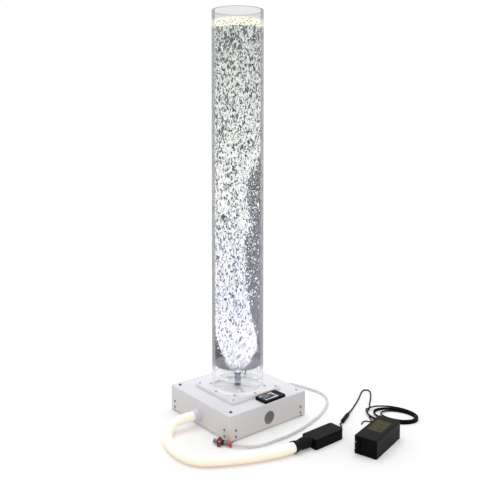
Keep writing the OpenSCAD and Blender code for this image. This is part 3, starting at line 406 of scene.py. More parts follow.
def conduit_material():
    """Milky tube lit from inside: nearly white on top, peach on its underside."""
    m = Mat("conduit_glow")
    m.set(Roughness=0.35, Specular_IOR_Level=0.3)
    tone = m.ramp(m.remap(m.up(), -1.0, 1.0, 0.0, 1.0), [
        (0.0, rgb(238, 206, 182)), (0.25, rgb(250, 232, 210)), (0.45, rgb(253, 248, 228)),
        (0.7, rgb(254, 252, 238)), (1.0, rgb(254, 253, 246))])
    rings = m.noise(120.0, 2.0)
    m.to("Base Color", m.mix(m.remap(rings, 0.35, 0.7, 0.0, 0.12), tone, rgb(250, 244, 215)))
    m.to("Emission Color", tone)
    m.set(Emission_Strength=0.2)
    m.bump(m.noise(240.0), 0.05, 0.0003)
    return m.m


def hose_material():
    """Clear grey hose with a soft wall."""
    m = Mat("hose_clear")
    m.set(Roughness=0.22, Specular_IOR_Level=0.6)
    c = m.ramp(m.noise(50.0), [(0.3, rgb(222, 222, 222)), (0.7, rgb(240, 240, 240))])
    m.to("Base Color", c)
    m.to("Alpha", m.remap(m.edge(0.35), 0.0, 1.0, 0.62, 0.95))
    m.bump(m.noise(200.0), 0.05, 0.0003)
    return m.m


HOUSING = housing_material()
GREY_PLASTIC = surface("plastic_grey", rgb(198, 198, 200), 0.55)
RUBBER = surface("rubber_black", rgb(14, 14, 15), 0.6, specular=0.12, grain=0.3, grain_scale=600)
STEEL = brushed("screw_steel", rgb(176, 178, 184), 0.32)
DARK_STEEL = brushed("screw_dark", rgb(150, 150, 154), 0.36)
PALE_STEEL = brushed("screw_pale", rgb(190, 191, 197), 0.3)
BLUE = surface("cap_blue", rgb(3, 34, 170), 0.5, specular=0.02, grain=0.05)
AZURE = surface("cap_azure", rgb(26, 100, 170), 0.35, specular=0.25, grain=0.05)
RING_STEEL = brushed("screw_ring", rgb(158, 160, 166), 0.34)
GASKET = surface("gasket_grey", rgb(176, 178, 180), 0.7)
TUBE = tube_material()
PLATE = plate_material()
PLUG = plug_material()
SILICONE = silicone_material()
NOZZLE = surface("nozzle_metal", rgb(150, 152, 172), 0.3, metal=0.55, grain=0.2)
WHITE_PLASTIC = surface("plastic_white", rgb(232, 232, 232), 0.5)
TRAY_LIT = glowing("tray_lit", rgb(232, 232, 228), 0.5)
BOARD_WHITE = surface("board_white", rgb(228, 230, 234), 0.35, patch=80)
CHIPS = glowing("chips_lit", rgb(255, 250, 232), 2.0)
LILAC = surface("gland_lilac", rgb(228, 226, 240), 0.36, grain=0.1, patch=35)
CONDUIT = conduit_material()
BLACK = surface("plastic_black", rgb(12, 12, 13), 0.38, specular=0.05, grain=0.3, grain_scale=1500)
BLACK_SATIN = surface("case_black", rgb(11, 11, 12), 0.38, specular=0.05, grain=0.3,
                      grain_scale=1300)
BOARD_GREEN = surface("board_green", rgb(52, 132, 84), 0.4, patch=120, vary=0.25)
PUMP = brushed("pump_metal", rgb(150, 152, 156), 0.35)
CABLE = surface("cable_black", rgb(10, 10, 11), 0.42, specular=0.06, grain=0.2, grain_scale=700)
BRIGHT = brushed("plated_metal", rgb(205, 205, 208), 0.18)
VALVE_METAL = brushed("valve_metal", rgb(126, 120, 116), 0.22)
RED = surface("collar_red", rgb(206, 44, 40), 0.3, coat=0.3, grain=0.05)
MAROON = surface("handle_maroon", rgb(122, 34, 44), 0.42, grain=0.2)
HOSE = hose_material()
WATER = water_material()
PLUME = plume_material()
FOAM = foam_material()
# the bubbles' tones are painted light and shade: the white and pale ones are painted lit rims and glints,
# and glow; the dark ones are painted dark centres
BUBBLE_WHITE = bubble_material("bubble_white", rgb(252, 252, 255), 2.5)
BUBBLE_PALE = bubble_material("bubble_pale", rgb(214, 216, 230), 1.6)
BUBBLE_GREY = bubble_material("bubble_grey", rgb(150, 156, 160), 0.7)
BUBBLE_DARK = bubble_material("bubble_dark", rgb(42, 46, 52), 0.0, 0.4)
WALL_WHITE = bubble_material("wall_white", rgb(250, 252, 248), 0.5)
WALL_PALE = bubble_material("wall_pale", rgb(206, 210, 204), 0.2)
WALL_GREY = bubble_material("wall_grey", rgb(138, 146, 142), 0.0)
WALL_DARK = bubble_material("wall_dark", rgb(48, 54, 54), 0.0, 0.4)
OLIVE = surface("patch_olive", rgb(66, 61, 30), 0.5, specular=0.12, grain=0.2, patch=110, vary=0.5)

BY_NODE = {
    "base_housing": HOUSING, "floor_plate": GREY_PLASTIC, "rubber_feet": RUBBER,
    "foot_screws": STEEL, "corner_posts": GREY_PLASTIC, "top_screws": STEEL, "screw_caps": AZURE,
    "side_screws": DARK_STEEL, "plate_gasket": GASKET, "flange_plate": PLATE,
    "plate_screws": PALE_STEEL, "ring_screw_set": RING_STEEL, "acrylic_tube": TUBE,
    "tube_plug": PLUG, "plug_seal": SILICONE, "nozzle_body": NOZZLE, "nozzle_cap": BLUE,
    "nozzle_nut": STEEL, "check_ball": WHITE_PLASTIC, "light_tray": TRAY_LIT,
    "led_board": BOARD_WHITE, "led_chips": CHIPS, "gland": LILAC, "gland_nut": LILAC,
    "conduit_boot": RUBBER, "control_lid": BLACK, "control_tray": BLACK,
    "control_board": BOARD_GREEN, "air_pump": PUMP, "lead_grommet": RUBBER,
    "dc_socket": BLACK, "dc_plug": BLACK, "lead_relief": CABLE, "psu_cover": BLACK_SATIN,
    "psu_case": BLACK_SATIN, "psu_board": BOARD_GREEN, "plug_boss": BLACK, "mains_pins": BRIGHT,
    "drain_elbow": WHITE_PLASTIC, "drain_outlet": WHITE_PLASTIC, "hose_collar": RED,
    "valve_body": VALVE_METAL, "valve_seal": RUBBER, "valve_ball": BRIGHT, "valve_handle": MAROON,
    "remote_cover": BLACK, "remote_case": BLACK, "battery_tray": BLACK, "coin_cell": BRIGHT,
}
for name, material in BY_NODE.items():
    NODES[name].data.materials.clear()
    NODES[name].data.materials.append(material)


# ---------- mesh helpers ----------

def add_piece(name, verts, faces, materials, body="lamp", smooth=True, face_mat=None):
    """A visible piece of its own, which rides on a body; face_mat picks each face's material."""
    mesh = bpy.data.meshes.new(name)
    mesh.from_pydata([tuple(v) for v in verts], [], faces)
    for m in materials if isinstance(materials, (list, tuple)) else [materials]:
        mesh.materials.append(m)
    mesh.polygons.foreach_set("use_smooth", [smooth] * len(mesh.polygons))
    if face_mat is not None:
        mesh.polygons.foreach_set("material_index", face_mat)
    mesh.update()
    o = bpy.data.objects.new(name, mesh)
    scene.collection.objects.link(o)
    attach(o, body)
    return o


def ring_faces(rings, sides, base=0):
    """Quads between rings of points laid one after another, and a flat cap on both ends."""
    faces = []
    for i in range(rings - 1):
        for j in range(sides):
            a, b = base + i * sides + j, base + i * sides + (j + 1) % sides
            faces.append((a, b, b + sides, a + sides))
    faces.append(tuple(base + sides - 1 - j for j in range(sides)))
    faces.append(tuple(base + (rings - 1) * sides + j for j in range(sides)))
    return faces


def heading(angle):
    """Level unit vector at an angle from the X axis."""
    return Vector((math.cos(angle), math.sin(angle), 0))


def moved(x, y, z=0):
    """Matrix of a move, in millimetres."""
    return Matrix.Translation(Vector((x, y, z)))


def tube(name, path, radius, sides, material):
    """Round tube along a list of points, with flat ends; its rings turn with the path."""
    pts = [Vector(p) for p in path]
    n = len(pts)
    tang = [(pts[min(i + 1, n - 1)] - pts[max(i - 1, 0)]).normalized() for i in range(n)]
    side = tang[0].orthogonal().normalized()
    verts = []
    for i in range(n):
        side = (side - tang[i] * side.dot(tang[i])).normalized()
        over = tang[i].cross(side)
        for j in range(sides):
            a = TURN * j / sides
            verts.append(pts[i] + radius * (math.cos(a) * side + math.sin(a) * over))
    return add_piece(name, verts, ring_faces(n, sides), material)


# ---------- the routes, as in the CAD source ----------

def route(points, steps, low):
    """The same smooth curve as the CAD source's, in millimetres."""
    p = [Vector(v) for v in points]
    q = [2 * p[0] - p[1]] + p + [2 * p[-1] - p[-2]]
    last = len(p) - 1
    stub, apart, end_gap = 0.8, 0.6, 1.2
    out = [p[0], p[0] + stub * (p[1] - p[0]).normalized()]
    for k in range(1, steps):
        u = k * last / steps
        i = int(u)
        t = u - i
        a, b, c, d = q[i:i + 4]
        s = 0.5 * (2 * b + (c - a) * t + (2 * a - 5 * b + 4 * c - d) * t * t
                   + (3 * b - a - 3 * c + d) * t ** 3)
        s.z = max(s.z, low)
        if (s - out[-1]).length > apart and (s - p[-1]).length > end_gap:
            out.append(s)
    return out + [p[-1] + stub * (p[-2] - p[-1]).normalized(), p[-1]]


def metres(path):
    return [Vector(p) * MM for p in path]


CONDUIT_D = 28
PORT_Z = 33.5
# the conduit's axis where it lies on the floor
LOW = CONDUIT_D / 2 + 0.2
CTRL_Y, CTRL_AXIS_Z = -301, 17
conduit_route = [
    (-162, 0, PORT_Z), (-170, 0, PORT_Z), (-179, 0, PORT_Z), (-201, 5, 31.5), (-226, 9, 26),
    (-252, 0, 19.5), (-278, -28, 15.5), (-297, -69, LOW), (-305, -119, LOW), (-300, -165, LOW),
    (-283, -198, LOW), (-252, -222, LOW), (-207, -247, LOW), (-156, -271, LOW),
    (-105, -289, LOW + 0.6), (-74, -298, CTRL_AXIS_Z - 0.8), (-54, CTRL_Y, CTRL_AXIS_Z),
    (-46, CTRL_Y, CTRL_AXIS_Z), (-38, CTRL_Y, CTRL_AXIS_Z)]
conduit_path = metres(route(conduit_route, steps=180, low=LOW))

LEAD_D = 4.5
LEAD_R = LEAD_D / 2
LEAD_LOW = LEAD_R + 0.2
RELIEF_Z, RELIEF_Y, PIG_X = 14, -294, 146
# the in-line connector
JOINT = Vector((184, -266, 6.2))
JOINT_DIR = heading(math.radians(24.5))
JOINT_LEN = 88
pigtail_route = [
    (PIG_X, RELIEF_Y, RELIEF_Z), (PIG_X + 3, RELIEF_Y, RELIEF_Z),
    (PIG_X + 11, RELIEF_Y + 3, RELIEF_Z - 3), (PIG_X + 20, RELIEF_Y + 11, 7.6),
    JOINT - 12 * JOINT_DIR + Vector((0, 0, 0.4)), JOINT - 5 * JOINT_DIR, JOINT]
pigtail_path = metres(route(pigtail_route, steps=48, low=LEAD_LOW))

COIL_C = Vector((351, -325, 0))
COIL_TURN = math.radians(-63.4)
COIL_START = 171            # degrees
COIL_HALF = (78, 54)        # half length and half width of the outermost loop
COIL_DRAW = (14, 10)        # each further loop is this much smaller
COIL_SHIFT = 8
COIL_RISE = LEAD_D + 0.7
COIL_STEPS, COIL_LOOPS, COIL_LAYERS = 24, 2, 2
COIL_TOTAL = COIL_STEPS * COIL_LOOPS * COIL_LAYERS


def coil_point(k):
    """Point of the oval coil: its loops draw in, step up a layer, and wind out again."""
    half = COIL_TOTAL / 2
    w = (k if k <= half else 2 * half - k) / COIL_STEPS
    t = math.radians(COIL_START + 360 * k / COIL_STEPS)
    x = (COIL_HALF[0] - COIL_DRAW[0] * w) * math.cos(t) + COIL_SHIFT * w
    y = (COIL_HALF[1] - COIL_DRAW[1] * w) * math.sin(t)
    s = min(max((k - (half - COIL_STEPS / 4)) / (COIL_STEPS / 2), 0), 1)
    ct, st = math.cos(COIL_TURN), math.sin(COIL_TURN)
    return Vector((COIL_C.x + x * ct - y * st, COIL_C.y + x * st + y * ct,
                   LEAD_LOW + COIL_RISE * s * s * (3 - 2 * s)))


coil = [coil_point(k) for k in range(COIL_TOTAL + 1)]
coil_in = (coil[1] - coil[0]).normalized()
coil_out = (coil[-1] - coil[-2]).normalized()
coil_first = coil[0] - LEAD_D * coil_in
coil_last = coil[-1] + LEAD_D * coil_out
joint_end = JOINT + JOINT_LEN * JOINT_DIR
lead_route = [
    joint_end, joint_end + 3 * JOINT_DIR, (276, -223.5, LEAD_LOW + 1.4), (300, -211, LEAD_LOW),
    (330, -196, LEAD_LOW), (362, -179, LEAD_LOW), (392, -161, LEAD_LOW), (418, -146, LEAD_LOW),
    (436, -141, LEAD_LOW), (445, -149, LEAD_LOW), (440, -163, LEAD_LOW), (422, -181, LEAD_LOW),
    (393, -204, LEAD_LOW), (366, -223, LEAD_LOW), (346, -239, LEAD_LOW),
    coil_first - 4 * coil_in, coil_first]
# the adapter, and where the lead enters its relief
PSU_AT, PSU_TURN = Vector((169, -415, 0)), math.radians(14)
PSU_DIR = heading(PSU_TURN)
PSU_TOP = 50
RELIEF_REACH, RELIEF_UP = 97, 24
psu_out = PSU_AT + RELIEF_REACH * PSU_DIR + Vector((0, 0, RELIEF_UP))
up_z = coil_last.z
tail_route = [
    coil_last, coil_last + 6 * coil_out, (303, -263, up_z), (292, -279, up_z - 1), (286, -303, 3.8),
    (284, -330, 3.4), (285, -354, 6.5), (283, -374, 14.5),
    psu_out + 10 * PSU_DIR - Vector((0, 0, 1)), psu_out + 4 * PSU_DIR, psu_out]
coil_fine = [coil_point(k / 4) for k in range(1, 4 * COIL_TOTAL)]
lead_path = metres(route(lead_route, steps=150, low=LEAD_LOW)[:-1] + coil_fine
                   + route(tail_route, steps=90, low=LEAD_LOW)[1:])

# the drain hose
HOSE_R = 4
HOSE_LOW = HOSE_R + 0.2
VALVE_AT = Vector((-157, -170, 8.5))
FLOW = heading(math.radians(116.6))
drain_route = [
    (166, 75, 25), (173, 75, 25), (180, 75, 24), (205, 74, 17), (226, 73, 8.5), (246, 70, HOSE_LOW),
    (264, 61, HOSE_LOW), (279, 42, HOSE_LOW), (290, 10, HOSE_LOW), (297, -26, HOSE_LOW),
    (300, -62, HOSE_LOW), (292, -96, HOSE_LOW), (268, -130, HOSE_LOW), (229, -159, HOSE_LOW),
    (172, -187, HOSE_LOW), (115, -205, HOSE_LOW), (58, -218, HOSE_LOW), (10, -223.5, HOSE_LOW),
    (-30, -223.5, HOSE_LOW), (-68, -221, HOSE_LOW), (-96, -216, HOSE_LOW), (-120, -206, 5),
    (-140, -192.5, 7.4), VALVE_AT - 12 * FLOW, VALVE_AT - 6 * FLOW, VALVE_AT]
drain_path = metres(route(drain_route, steps=220, low=HOSE_LOW))

# ---------- cords ----------

conduit = tube("conduit", conduit_path, CONDUIT_D / 2 * MM, 32, CONDUIT)
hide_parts("glow_conduit")

pigtail = tube("pigtail_lead", pigtail_path, LEAD_R * MM, 16, CABLE)
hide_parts("pigtail")

lead = tube("adapter_lead", lead_path, LEAD_R * MM, 14, CABLE)
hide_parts("dc_lead", "lead_coil", "lead_tail")

# twist tie round the tail: its ring and its free end
TIE_I = 8               # the point of the tail that it holds
TIE_Z = 2.0             # height of its free end
TIE_RING_R, TIE_RING_W = 3.05, 3.2
# half width and half thickness
RING_HALF, TAIL_HALF = (1.15, 0.45), (1.2, 1.5)
tail_coarse = route(tail_route, steps=20, low=LEAD_LOW)
tie_at = tail_coarse[TIE_I]
tie_dir = (tail_coarse[TIE_I + 1] - tail_coarse[TIE_I - 1]).normalized()
tie_route = [tie_at + Vector((-2.85, 0, 0)), tie_at + Vector((-6.25, 0, -0.6)), (272, -310, TIE_Z),
             (263, -306, TIE_Z), (258, -298, TIE_Z), (250, -296, TIE_Z), (240, -299, TIE_Z),
             (231, -304, TIE_Z)]
tie_tail = metres(route(tie_route, steps=56, low=TIE_Z))


def tie_piece():
    """Flat tie: a band wound twice round the lead, then its ribbon tail."""
    verts = []
    side = tie_dir.orthogonal().normalized()
    over = tie_dir.cross(side)
    turns, steps = 2.0, 48
    line = []
    for i in range(steps + 1):
        a = TURN * turns * i / steps
        along = TIE_RING_W * (i / steps - 0.5) * tie_dir
        out = TIE_RING_R * (math.cos(a) * side + math.sin(a) * over)
        line.append(((tie_at + along + out) * MM, tie_dir))
    first = len(line)
    for p in tie_tail:
        line.append((p, Vector((0, 0, 1))))
    for i, (p, wide) in enumerate(line):
        a, b = line[max(i - 1, 0)][0], line[min(i + 1, len(line) - 1)][0]
        if i == first:
            a = line[i][0]
        if i == first - 1:
            b = line[i][0]
        t = (b - a).normalized()
        w = (wide - t * wide.dot(t)).normalized()
        n = t.cross(w)
        half_w, half_t = RING_HALF if i < first else TAIL_HALF
        for s, u in ((-1, -1), (1, -1), (1, 1), (-1, 1)):
            verts.append(p + s * half_w * MM * w + u * half_t * MM * n)
    faces = ring_faces(first, 4) + ring_faces(len(line) - first, 4, 4 * first)
    o = add_piece("lead_tie_band", verts, faces, CABLE, smooth=False)
    mod = o.modifiers.new("soft_edges", "BEVEL")
    mod.width, mod.segments, mod.limit_method = 0.0003, 2, "ANGLE"
    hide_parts("lead_tie")
    return o


tie = tie_piece()

hose = tube("drain_hose_clear", drain_path, HOSE_R * MM, 20, HOSE)
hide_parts("drain_hose")

# the two lines inside the base
LINE_R = 3
air_route = [(0, 0, 55), (0, 0, 47), (-7, 0, 38), (-24, 0, 35), (-48, 0, 33.5), (-90, 0, 33.5),
             (-130, 0, 33.5), (-162, 0, 33.5)]
air = tube("air_hose", metres(route(air_route, steps=72, low=32.5)), LINE_R * MM, 14, SILICONE)
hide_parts("air_line")
ELBOW_DIR = heading(math.radians(22.5))
tip = 86 * ELBOW_DIR + Vector((0, 0, 64))
inner_route = [tip, tip + 5 * ELBOW_DIR, tip + 11 * ELBOW_DIR - Vector((0, 0, 2)), (103, 50, 51),
               (108, 60, 38), (116, 69, 29), (126, 74, 25.4), (131, 75, 25), (136, 75, 25)]
inner = tube("drain_hose_inner", metres(route(inner_route, steps=64, low=14)), LINE_R * MM, 14,
             SILICONE)
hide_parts("drain_line")

# ---------- water column ----------

rng = random.Random(20)


def table_value(table, z, column):
    """Smooth value between the rows of a table whose first column is height."""
    if z <= table[0][0]:
        return table[0][column]
    for a, b in zip(table, table[1:]):
        if z <= b[0]:
            t = (z - a[0]) / (b[0] - a[0])
            t = t * t * (3 - 2 * t)
            return a[column] + (b[column] - a[column]) * t
    return table[-1][column]


def lathe(name, profile, sides, material, wobble=None):
    """Turned shape from (radius, height) pairs in millimetres; wobble moves each point."""
    verts = []
    for r, z in profile:
        for j in range(sides):
            a = TURN * j / sides
            p = Vector((r * math.cos(a), r * math.sin(a), z))
            verts.append((wobble(p) if wobble else p) * MM)
    return add_piece(name, verts, ring_faces(len(profile), sides), material)


# the water: its foot is rounded where it meets the plug, and it ends under the foam
FOOT_R = 7
foot = [(WATER_R - FOOT_R + FOOT_R * math.sin(t), WATER_LOW + FOOT_R - FOOT_R * math.cos(t))
        for t in [math.radians(10 * k) for k in range(10)]]
sides_up = [(WATER_R, WATER_LOW + 10 + (WATER_TOP - WATER_LOW - 12) * k / 40) for k in range(41)]
water = lathe("water_body", foot + sides_up, 96, WATER)
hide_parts("water")

# the rising bubbles: height, radius of the stream, lean towards one side (mm)
STREAM = [
    (126, 6, 0), (131, 11, 0), (136, 18, 0), (143, 26, 0), (158, 33, -2), (176, 40, -2), (192, 50, -2),
    (208, 58, -1), (228, 61, 2), (256, 60, 9), (288, 57, 15), (319, 54, 18), (350, 50, 21),
    (381, 48, 24), (428, 46, 27), (475, 48, 27), (537, 49, 29), (584, 55, 23), (631, 54, 25),
    (693, 50, 29), (735, 55, 24), (775, 64, 12), (820, 70, 3), (900, 71, 0), (1188, 71, 0)]


def stream_at(z):
    """Radius and lean of the stream at a height."""
    return table_value(STREAM, z, 1), table_value(STREAM, z, 2)


def hold_in(p):
    """Keeps a point inside the water."""
    limit = WATER_R - 0.8
    r = math.hypot(p.x, p.y)
    if r > limit:
        p.x, p.y = p.x * limit / r, p.y * limit / r
    return p


def stream_surface():
    """Lumpy skin of the rising bubbles: wide swells, lumps and fine ripples."""
    low, high = WATER_LOW + 0.5, WATER_TOP - 0.5
    ring_step, sides = 2.6, 110
    rings = int((high - low) / ring_step)
    verts = []
    for i in range(rings + 1):
        z = low + (high - low) * i / rings
        r, lean = stream_at(z)
        for j in range(sides):
            d = heading(TURN * j / sides)
            big = noise.noise(Vector((d.x * 1.3, d.y * 1.3, z / 70)))
            mid = noise.noise(Vector((d.x * 5, d.y * 5, z / 22 + 9)))
            fine = noise.noise(Vector((d.x * 17, d.y * 17, z / 7 + 40)))
            k = 1 + 0.10 * big + 0.10 * mid + 0.09 * fine
            p = d * r * k + LEAN_DIR * lean
            p.z = z + 3 * fine
            verts.append(hold_in(p) * MM)
    return add_piece("bubble_stream", verts, ring_faces(rings + 1, sides), PLUME)


stream_surface()

# one small ball, to be copied many times
ball = bmesh.new()
bmesh.ops.create_icosphere(ball, subdivisions=1, radius=1.0)
BALL_V = np.array([v.co for v in ball.verts])
BALL_F = np.array([[v.index for v in f.verts] for f in ball.faces])
ball.free()


def bubbles(name, spots, materials):
    """Many small balls in one piece. A spot is (place mm, direction it is drawn out along,
    radius mm, stretch, material index)."""
    verts, faces, index = [], [], []
    for k, (p, d, r, stretch, mat) in enumerate(spots):
        d = d.normalized()
        turn = np.array(d.to_track_quat("Z", "Y").to_matrix())
        v = BALL_V * np.array([r, r, r * stretch])
        verts.append(v @ turn.T + np.array(p))
        faces.append(BALL_F + k * len(BALL_V))
        index += [mat] * len(BALL_F)
    verts = np.concatenate(verts) * MM
    faces = np.concatenate(faces)
    return add_piece(name, verts.tolist(), faces.tolist(), materials, face_mat=index)


def pick(weights):
    """Random index, with these chances."""
    x = rng.random() * sum(weights)
    for i, w in enumerate(weights):
        x -= w
        if x < 0:
            return i
    return len(weights) - 1


def between(low, high, power=1):
    """Random height; a power under 1 brings it nearer to the high end."""
    return low + (high - low) * rng.random() ** power


BUBBLES = [BUBBLE_WHITE, BUBBLE_PALE, BUBBLE_GREY, BUBBLE_DARK]
STREAM_LOW, STREAM_HIGH = 140, 1180
OPEN_LOW = 330          # clear dark water shows above this
WALL_LOW, WALL_HIGH = 420, 1184
JET_LOW, JET_LEN = 126, 46


def skirt_bubbles(count):
    """Drawn-out bubbles that break the stream's outline."""
    spots = []
    while len(spots) < count:
        z = between(STREAM_LOW, STREAM_HIGH)
        if z > 700 and rng.random() < 0.4:
            continue
        r, lean = stream_at(z)
        d = heading(rng.random() * TURN)
        out = abs(rng.gauss(0, 1)) * (5 if z < OPEN_LOW else 7)
        p = d * (r * 0.97 + out) + LEAN_DIR * lean
        p.z = z
        size = 0.8 + 1.5 * rng.random() ** 2
        if math.hypot(p.x, p.y) > WATER_R - 2:
            continue
        tilt = (d * (0.5 if z < OPEN_LOW else 0.25)
                + Vector((rng.gauss(0, 0.25), rng.gauss(0, 0.25), 1)))
        spots.append((p, tilt, size, 1.3 + 2.2 * rng.random(), pick((6, 3, 1, 0.6))))
    return spots


def open_water_bubbles(count):
    """Bubbles in the clear dark water beside the stream, closer together higher up."""
    spots = []
    while len(spots) < count:
        z = between(OPEN_LOW, STREAM_HIGH, 0.8)
        a = rng.random() * TURN
        rad = (WATER_R - 3) * math.sqrt(0.3 + 0.7 * rng.random())
        p = Vector((rad * math.cos(a), rad * math.sin(a), 0))
        r, lean = stream_at(z)
        if (p - LEAN_DIR * lean).length < r * 1.04:
            continue
        p.z = z
        size = 0.8 + 1.2 * rng.random() ** 2
        tilt = Vector((rng.gauss(0, 0.35), rng.gauss(0, 0.35), 1))
        spots.append((p, tilt, size, 1.2 + 1.6 * rng.random(), pick((5, 4, 2, 1))))
    return spots


def wall_bubbles(count):
    """Flat bubbles against the tube's inside, thickening towards the top."""
    spots = []
    while len(spots) < count:
        z = between(WALL_LOW, WALL_HIGH, 0.6)
        d = heading(rng.random() * TURN)
        size = 0.9 + 1.3 * rng.random() ** 2
        p = d * (WATER_R + 0.4 - 0.2 * size)
        p.z = z
        tilt = d.cross(Vector((0, 0, 1))) * rng.gauss(0, 0.5) + Vector((0, 0, 1))
        spots.append((p, tilt, min(size, 1.35), 1.0 + 1.5 * rng.random(), pick((4, 3, 4, 4))))
    return spots


def jet_bubbles(count):
    """The narrow jet between the nozzle and the plug's top."""
    spots = []
    for _ in range(count):
        z = JET_LOW + JET_LEN * rng.random()
        r, lean = stream_at(z)
        d = heading(rng.random() * TURN)
        p = d * r * (0.75 + 0.45 * rng.random())
        if z < 130:
            p = d * min(p.length, 8.5)
        p.z = z
        tilt = Vector((d.x * 0.6, d.y * 0.6, 1))
        spots.append((p, tilt, 0.8 + rng.random(), 1.5 + 1.5 * rng.random(), pick((5, 2, 1, 0))))
    return spots


bubbles("bubbles_skirt", skirt_bubbles(2600), BUBBLES)
bubbles("bubbles_open", open_water_bubbles(900), BUBBLES)
bubbles("bubbles_wall", wall_bubbles(2200), [WALL_WHITE, WALL_PALE, WALL_GREY, WALL_DARK])
bubbles("bubbles_jet", jet_bubbles(260), BUBBLES)


def foam_head():
    """Froth between the water and its level: a lumpy disc."""
    low = WATER_TOP + 0.6
    rise = FOAM_TOP - low - 1.9
    profile = [(WATER_R - 1, low)]
    profile += [(WATER_R + 0.6, low + 0.9 + rise * k / 9) for k in range(10)]
    profile += [(WATER_R * f, FOAM_TOP)
                for f in (0.985, 0.93, 0.86, 0.78, 0.69, 0.6, 0.5, 0.4, 0.3, 0.2, 0.1)]

    def lump(p):
        n = noise.noise(p / 7) + 0.6 * noise.noise(p / 3.2)
        if p.z > FOAM_TOP - 1.5:
            p.z += 1.3 * n - 0.6
        else:
            d = Vector((p.x, p.y, 0)).normalized()
            p = p + d * min(0.4 * n - 0.3, 0.0)
        return p
    return lathe("foam_head", profile, 160, FOAM, wobble=lump)


foam_head()


def foam_bubbles(count):
    """Round bubbles, half of them on the froth and half at its side."""
    spots = []
    for _ in range(count):
        on_top = rng.random() < 0.5
        a = rng.random() * TURN
        size = 1.0 + 1.4 * rng.random()
        if on_top:
            rad = (WATER_R - 2) * math.sqrt(rng.random())
            z = FOAM_TOP - 1.3
        else:
            rad, z = WATER_R - 0.4, WATER_TOP + 2 + 18 * rng.random()
        spots.append((Vector((rad * math.cos(a), rad * math.sin(a), z)), Vector((0, 0, 1)), size,
                      0.8, pick((5, 3, 1))))
    return spots


CREAM = bubble_material("foam_bubble_cream", rgb(255, 252, 228), 0.7)
CREAM_DIM = bubble_material("foam_bubble_dim", rgb(226, 220, 186), 0.3)
FLECK = bubble_material("foam_bubble_fleck", rgb(112, 110, 92), 0.0)
bubbles("bubbles_foam", foam_bubbles(700), [CREAM, CREAM_DIM, FLECK])

# ---------- remote keys ----------

KEY_COLOURS = [  # rows from the near edge, columns from the left
    [(250, 196, 176), (196, 204, 192), (222, 226, 222), (248, 250, 250), (252, 252, 252), (252, 252, 252)],
    [(60, 150, 196), (44, 122, 196), (60, 72, 160), (40, 48, 112), (36, 52, 104), (226, 220, 240)],
    [(56, 120, 190), (70, 156, 160), (160, 190, 96), (84, 158, 140), (40, 130, 160), (248, 244, 250)],
    [(246, 222, 206), (236, 146, 84), (226, 116, 70), (156, 60, 42), (244, 226, 210), (250, 244, 240)],
]
REMOTE = moved(-14, -149, 77) @ Matrix.Rotation(math.radians(2.5), 4, "Z")
KEY_FROM, KEY_PITCH = (12.5, 9.7), (8.8, 9.2)
KEY_SIZE, KEY_CORNER = (7, 6), 0.9
MAT_CENTRE, MAT_SIZE, MAT_CORNER = (42, 23.5), (79.4, 42.4), 2.2
# (inset, height) of each level
KEY_LEVELS = [(0, 4.3), (0, 7.2), (0.12, 7.5), (0.4, 7.7), (0.9, 7.78), (1.8, 7.8)]
MAT_LEVELS = [(0, 4.25), (0, 5.05)]


def rounded_rect(w, h, r, seg):
    """Outline with seg steps round each corner."""
    pts = []
    for cx, cy, start in ((w / 2 - r, h / 2 - r, 0), (-w / 2 + r, h / 2 - r, 90),
                          (-w / 2 + r, -h / 2 + r, 180), (w / 2 - r, -h / 2 + r, 270)):
        for k in range(seg + 1):
            a = math.radians(start + 90 * k / seg)
            pts.append((cx + r * math.cos(a), cy + r * math.sin(a)))
    return pts


def pad(verts, faces, place, w, h, r, levels):
    """A rounded-rectangle block from (inset, height) levels, closed top and bottom."""
    seg = 4
    base = len(verts)
    for inset, z in levels:
        for x, y in rounded_rect(w - 2 * inset, h - 2 * inset, max(r - inset, 0.2), seg):
            verts.append(place @ Vector((x, y, z)) * MM)
    faces.extend(ring_faces(len(levels), 4 * (seg + 1), base))


def keypad():
    """The soft mat and its 24 coloured keys, without signs."""
    verts, faces, index = [], [], []
    mats = [surface("key_mat", rgb(40, 40, 44), 0.6, grain=0.2)]
    pad(verts, faces, REMOTE @ moved(*MAT_CENTRE), *MAT_SIZE, MAT_CORNER, MAT_LEVELS)
    index += [0] * len(faces)
    for j, row in enumerate(KEY_COLOURS):
        for i, colour in enumerate(row):
            mats.append(surface(f"key_{j}{i}", rgb(*colour), 0.5, grain=0.25, grain_scale=1600,
                                patch=200))
            at = REMOTE @ moved(KEY_FROM[0] + KEY_PITCH[0] * i, KEY_FROM[1] + KEY_PITCH[1] * j)
            before = len(faces)
            pad(verts, faces, at, *KEY_SIZE, KEY_CORNER, KEY_LEVELS)
            index += [len(mats) - 1] * (len(faces) - before)
    o = add_piece("key_pad_colours", verts, faces, mats, body="keypad", face_mat=index)
    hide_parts("remote_keys")
    for p in o.data.polygons:
        p.use_smooth = len(p.vertices) == 4
    return o


keypad()

# ---------- adapter's bare patch ----------

PATCH_SIZE, PATCH_CORNER = (72, 43), 3.0
PATCH_LEVELS = [(0, -0.3), (0, 0.1), (0.15, 0.2)]


def patch():
    """Thin olive plate on the adapter, bare where a label would be."""
    verts, faces = [], []
    place = Matrix.Translation(PSU_AT) @ Matrix.Rotation(PSU_TURN, 4, "Z") @ moved(12, 1, PSU_TOP)
    pad(verts, faces, place, *PATCH_SIZE, PATCH_CORNER, PATCH_LEVELS)
    return add_piece("adapter_patch", verts, faces, OLIVE, smooth=False)


patch()

# ---------- floor, light ----------

FLOOR_HALF = 30         # metres
FLOOR_GREY = 0.83
FLOOR_GLOW = 0.2        # added where the floor is seen
WORLD_LIGHT = 0.72      # on the object; where the world is seen it is 1


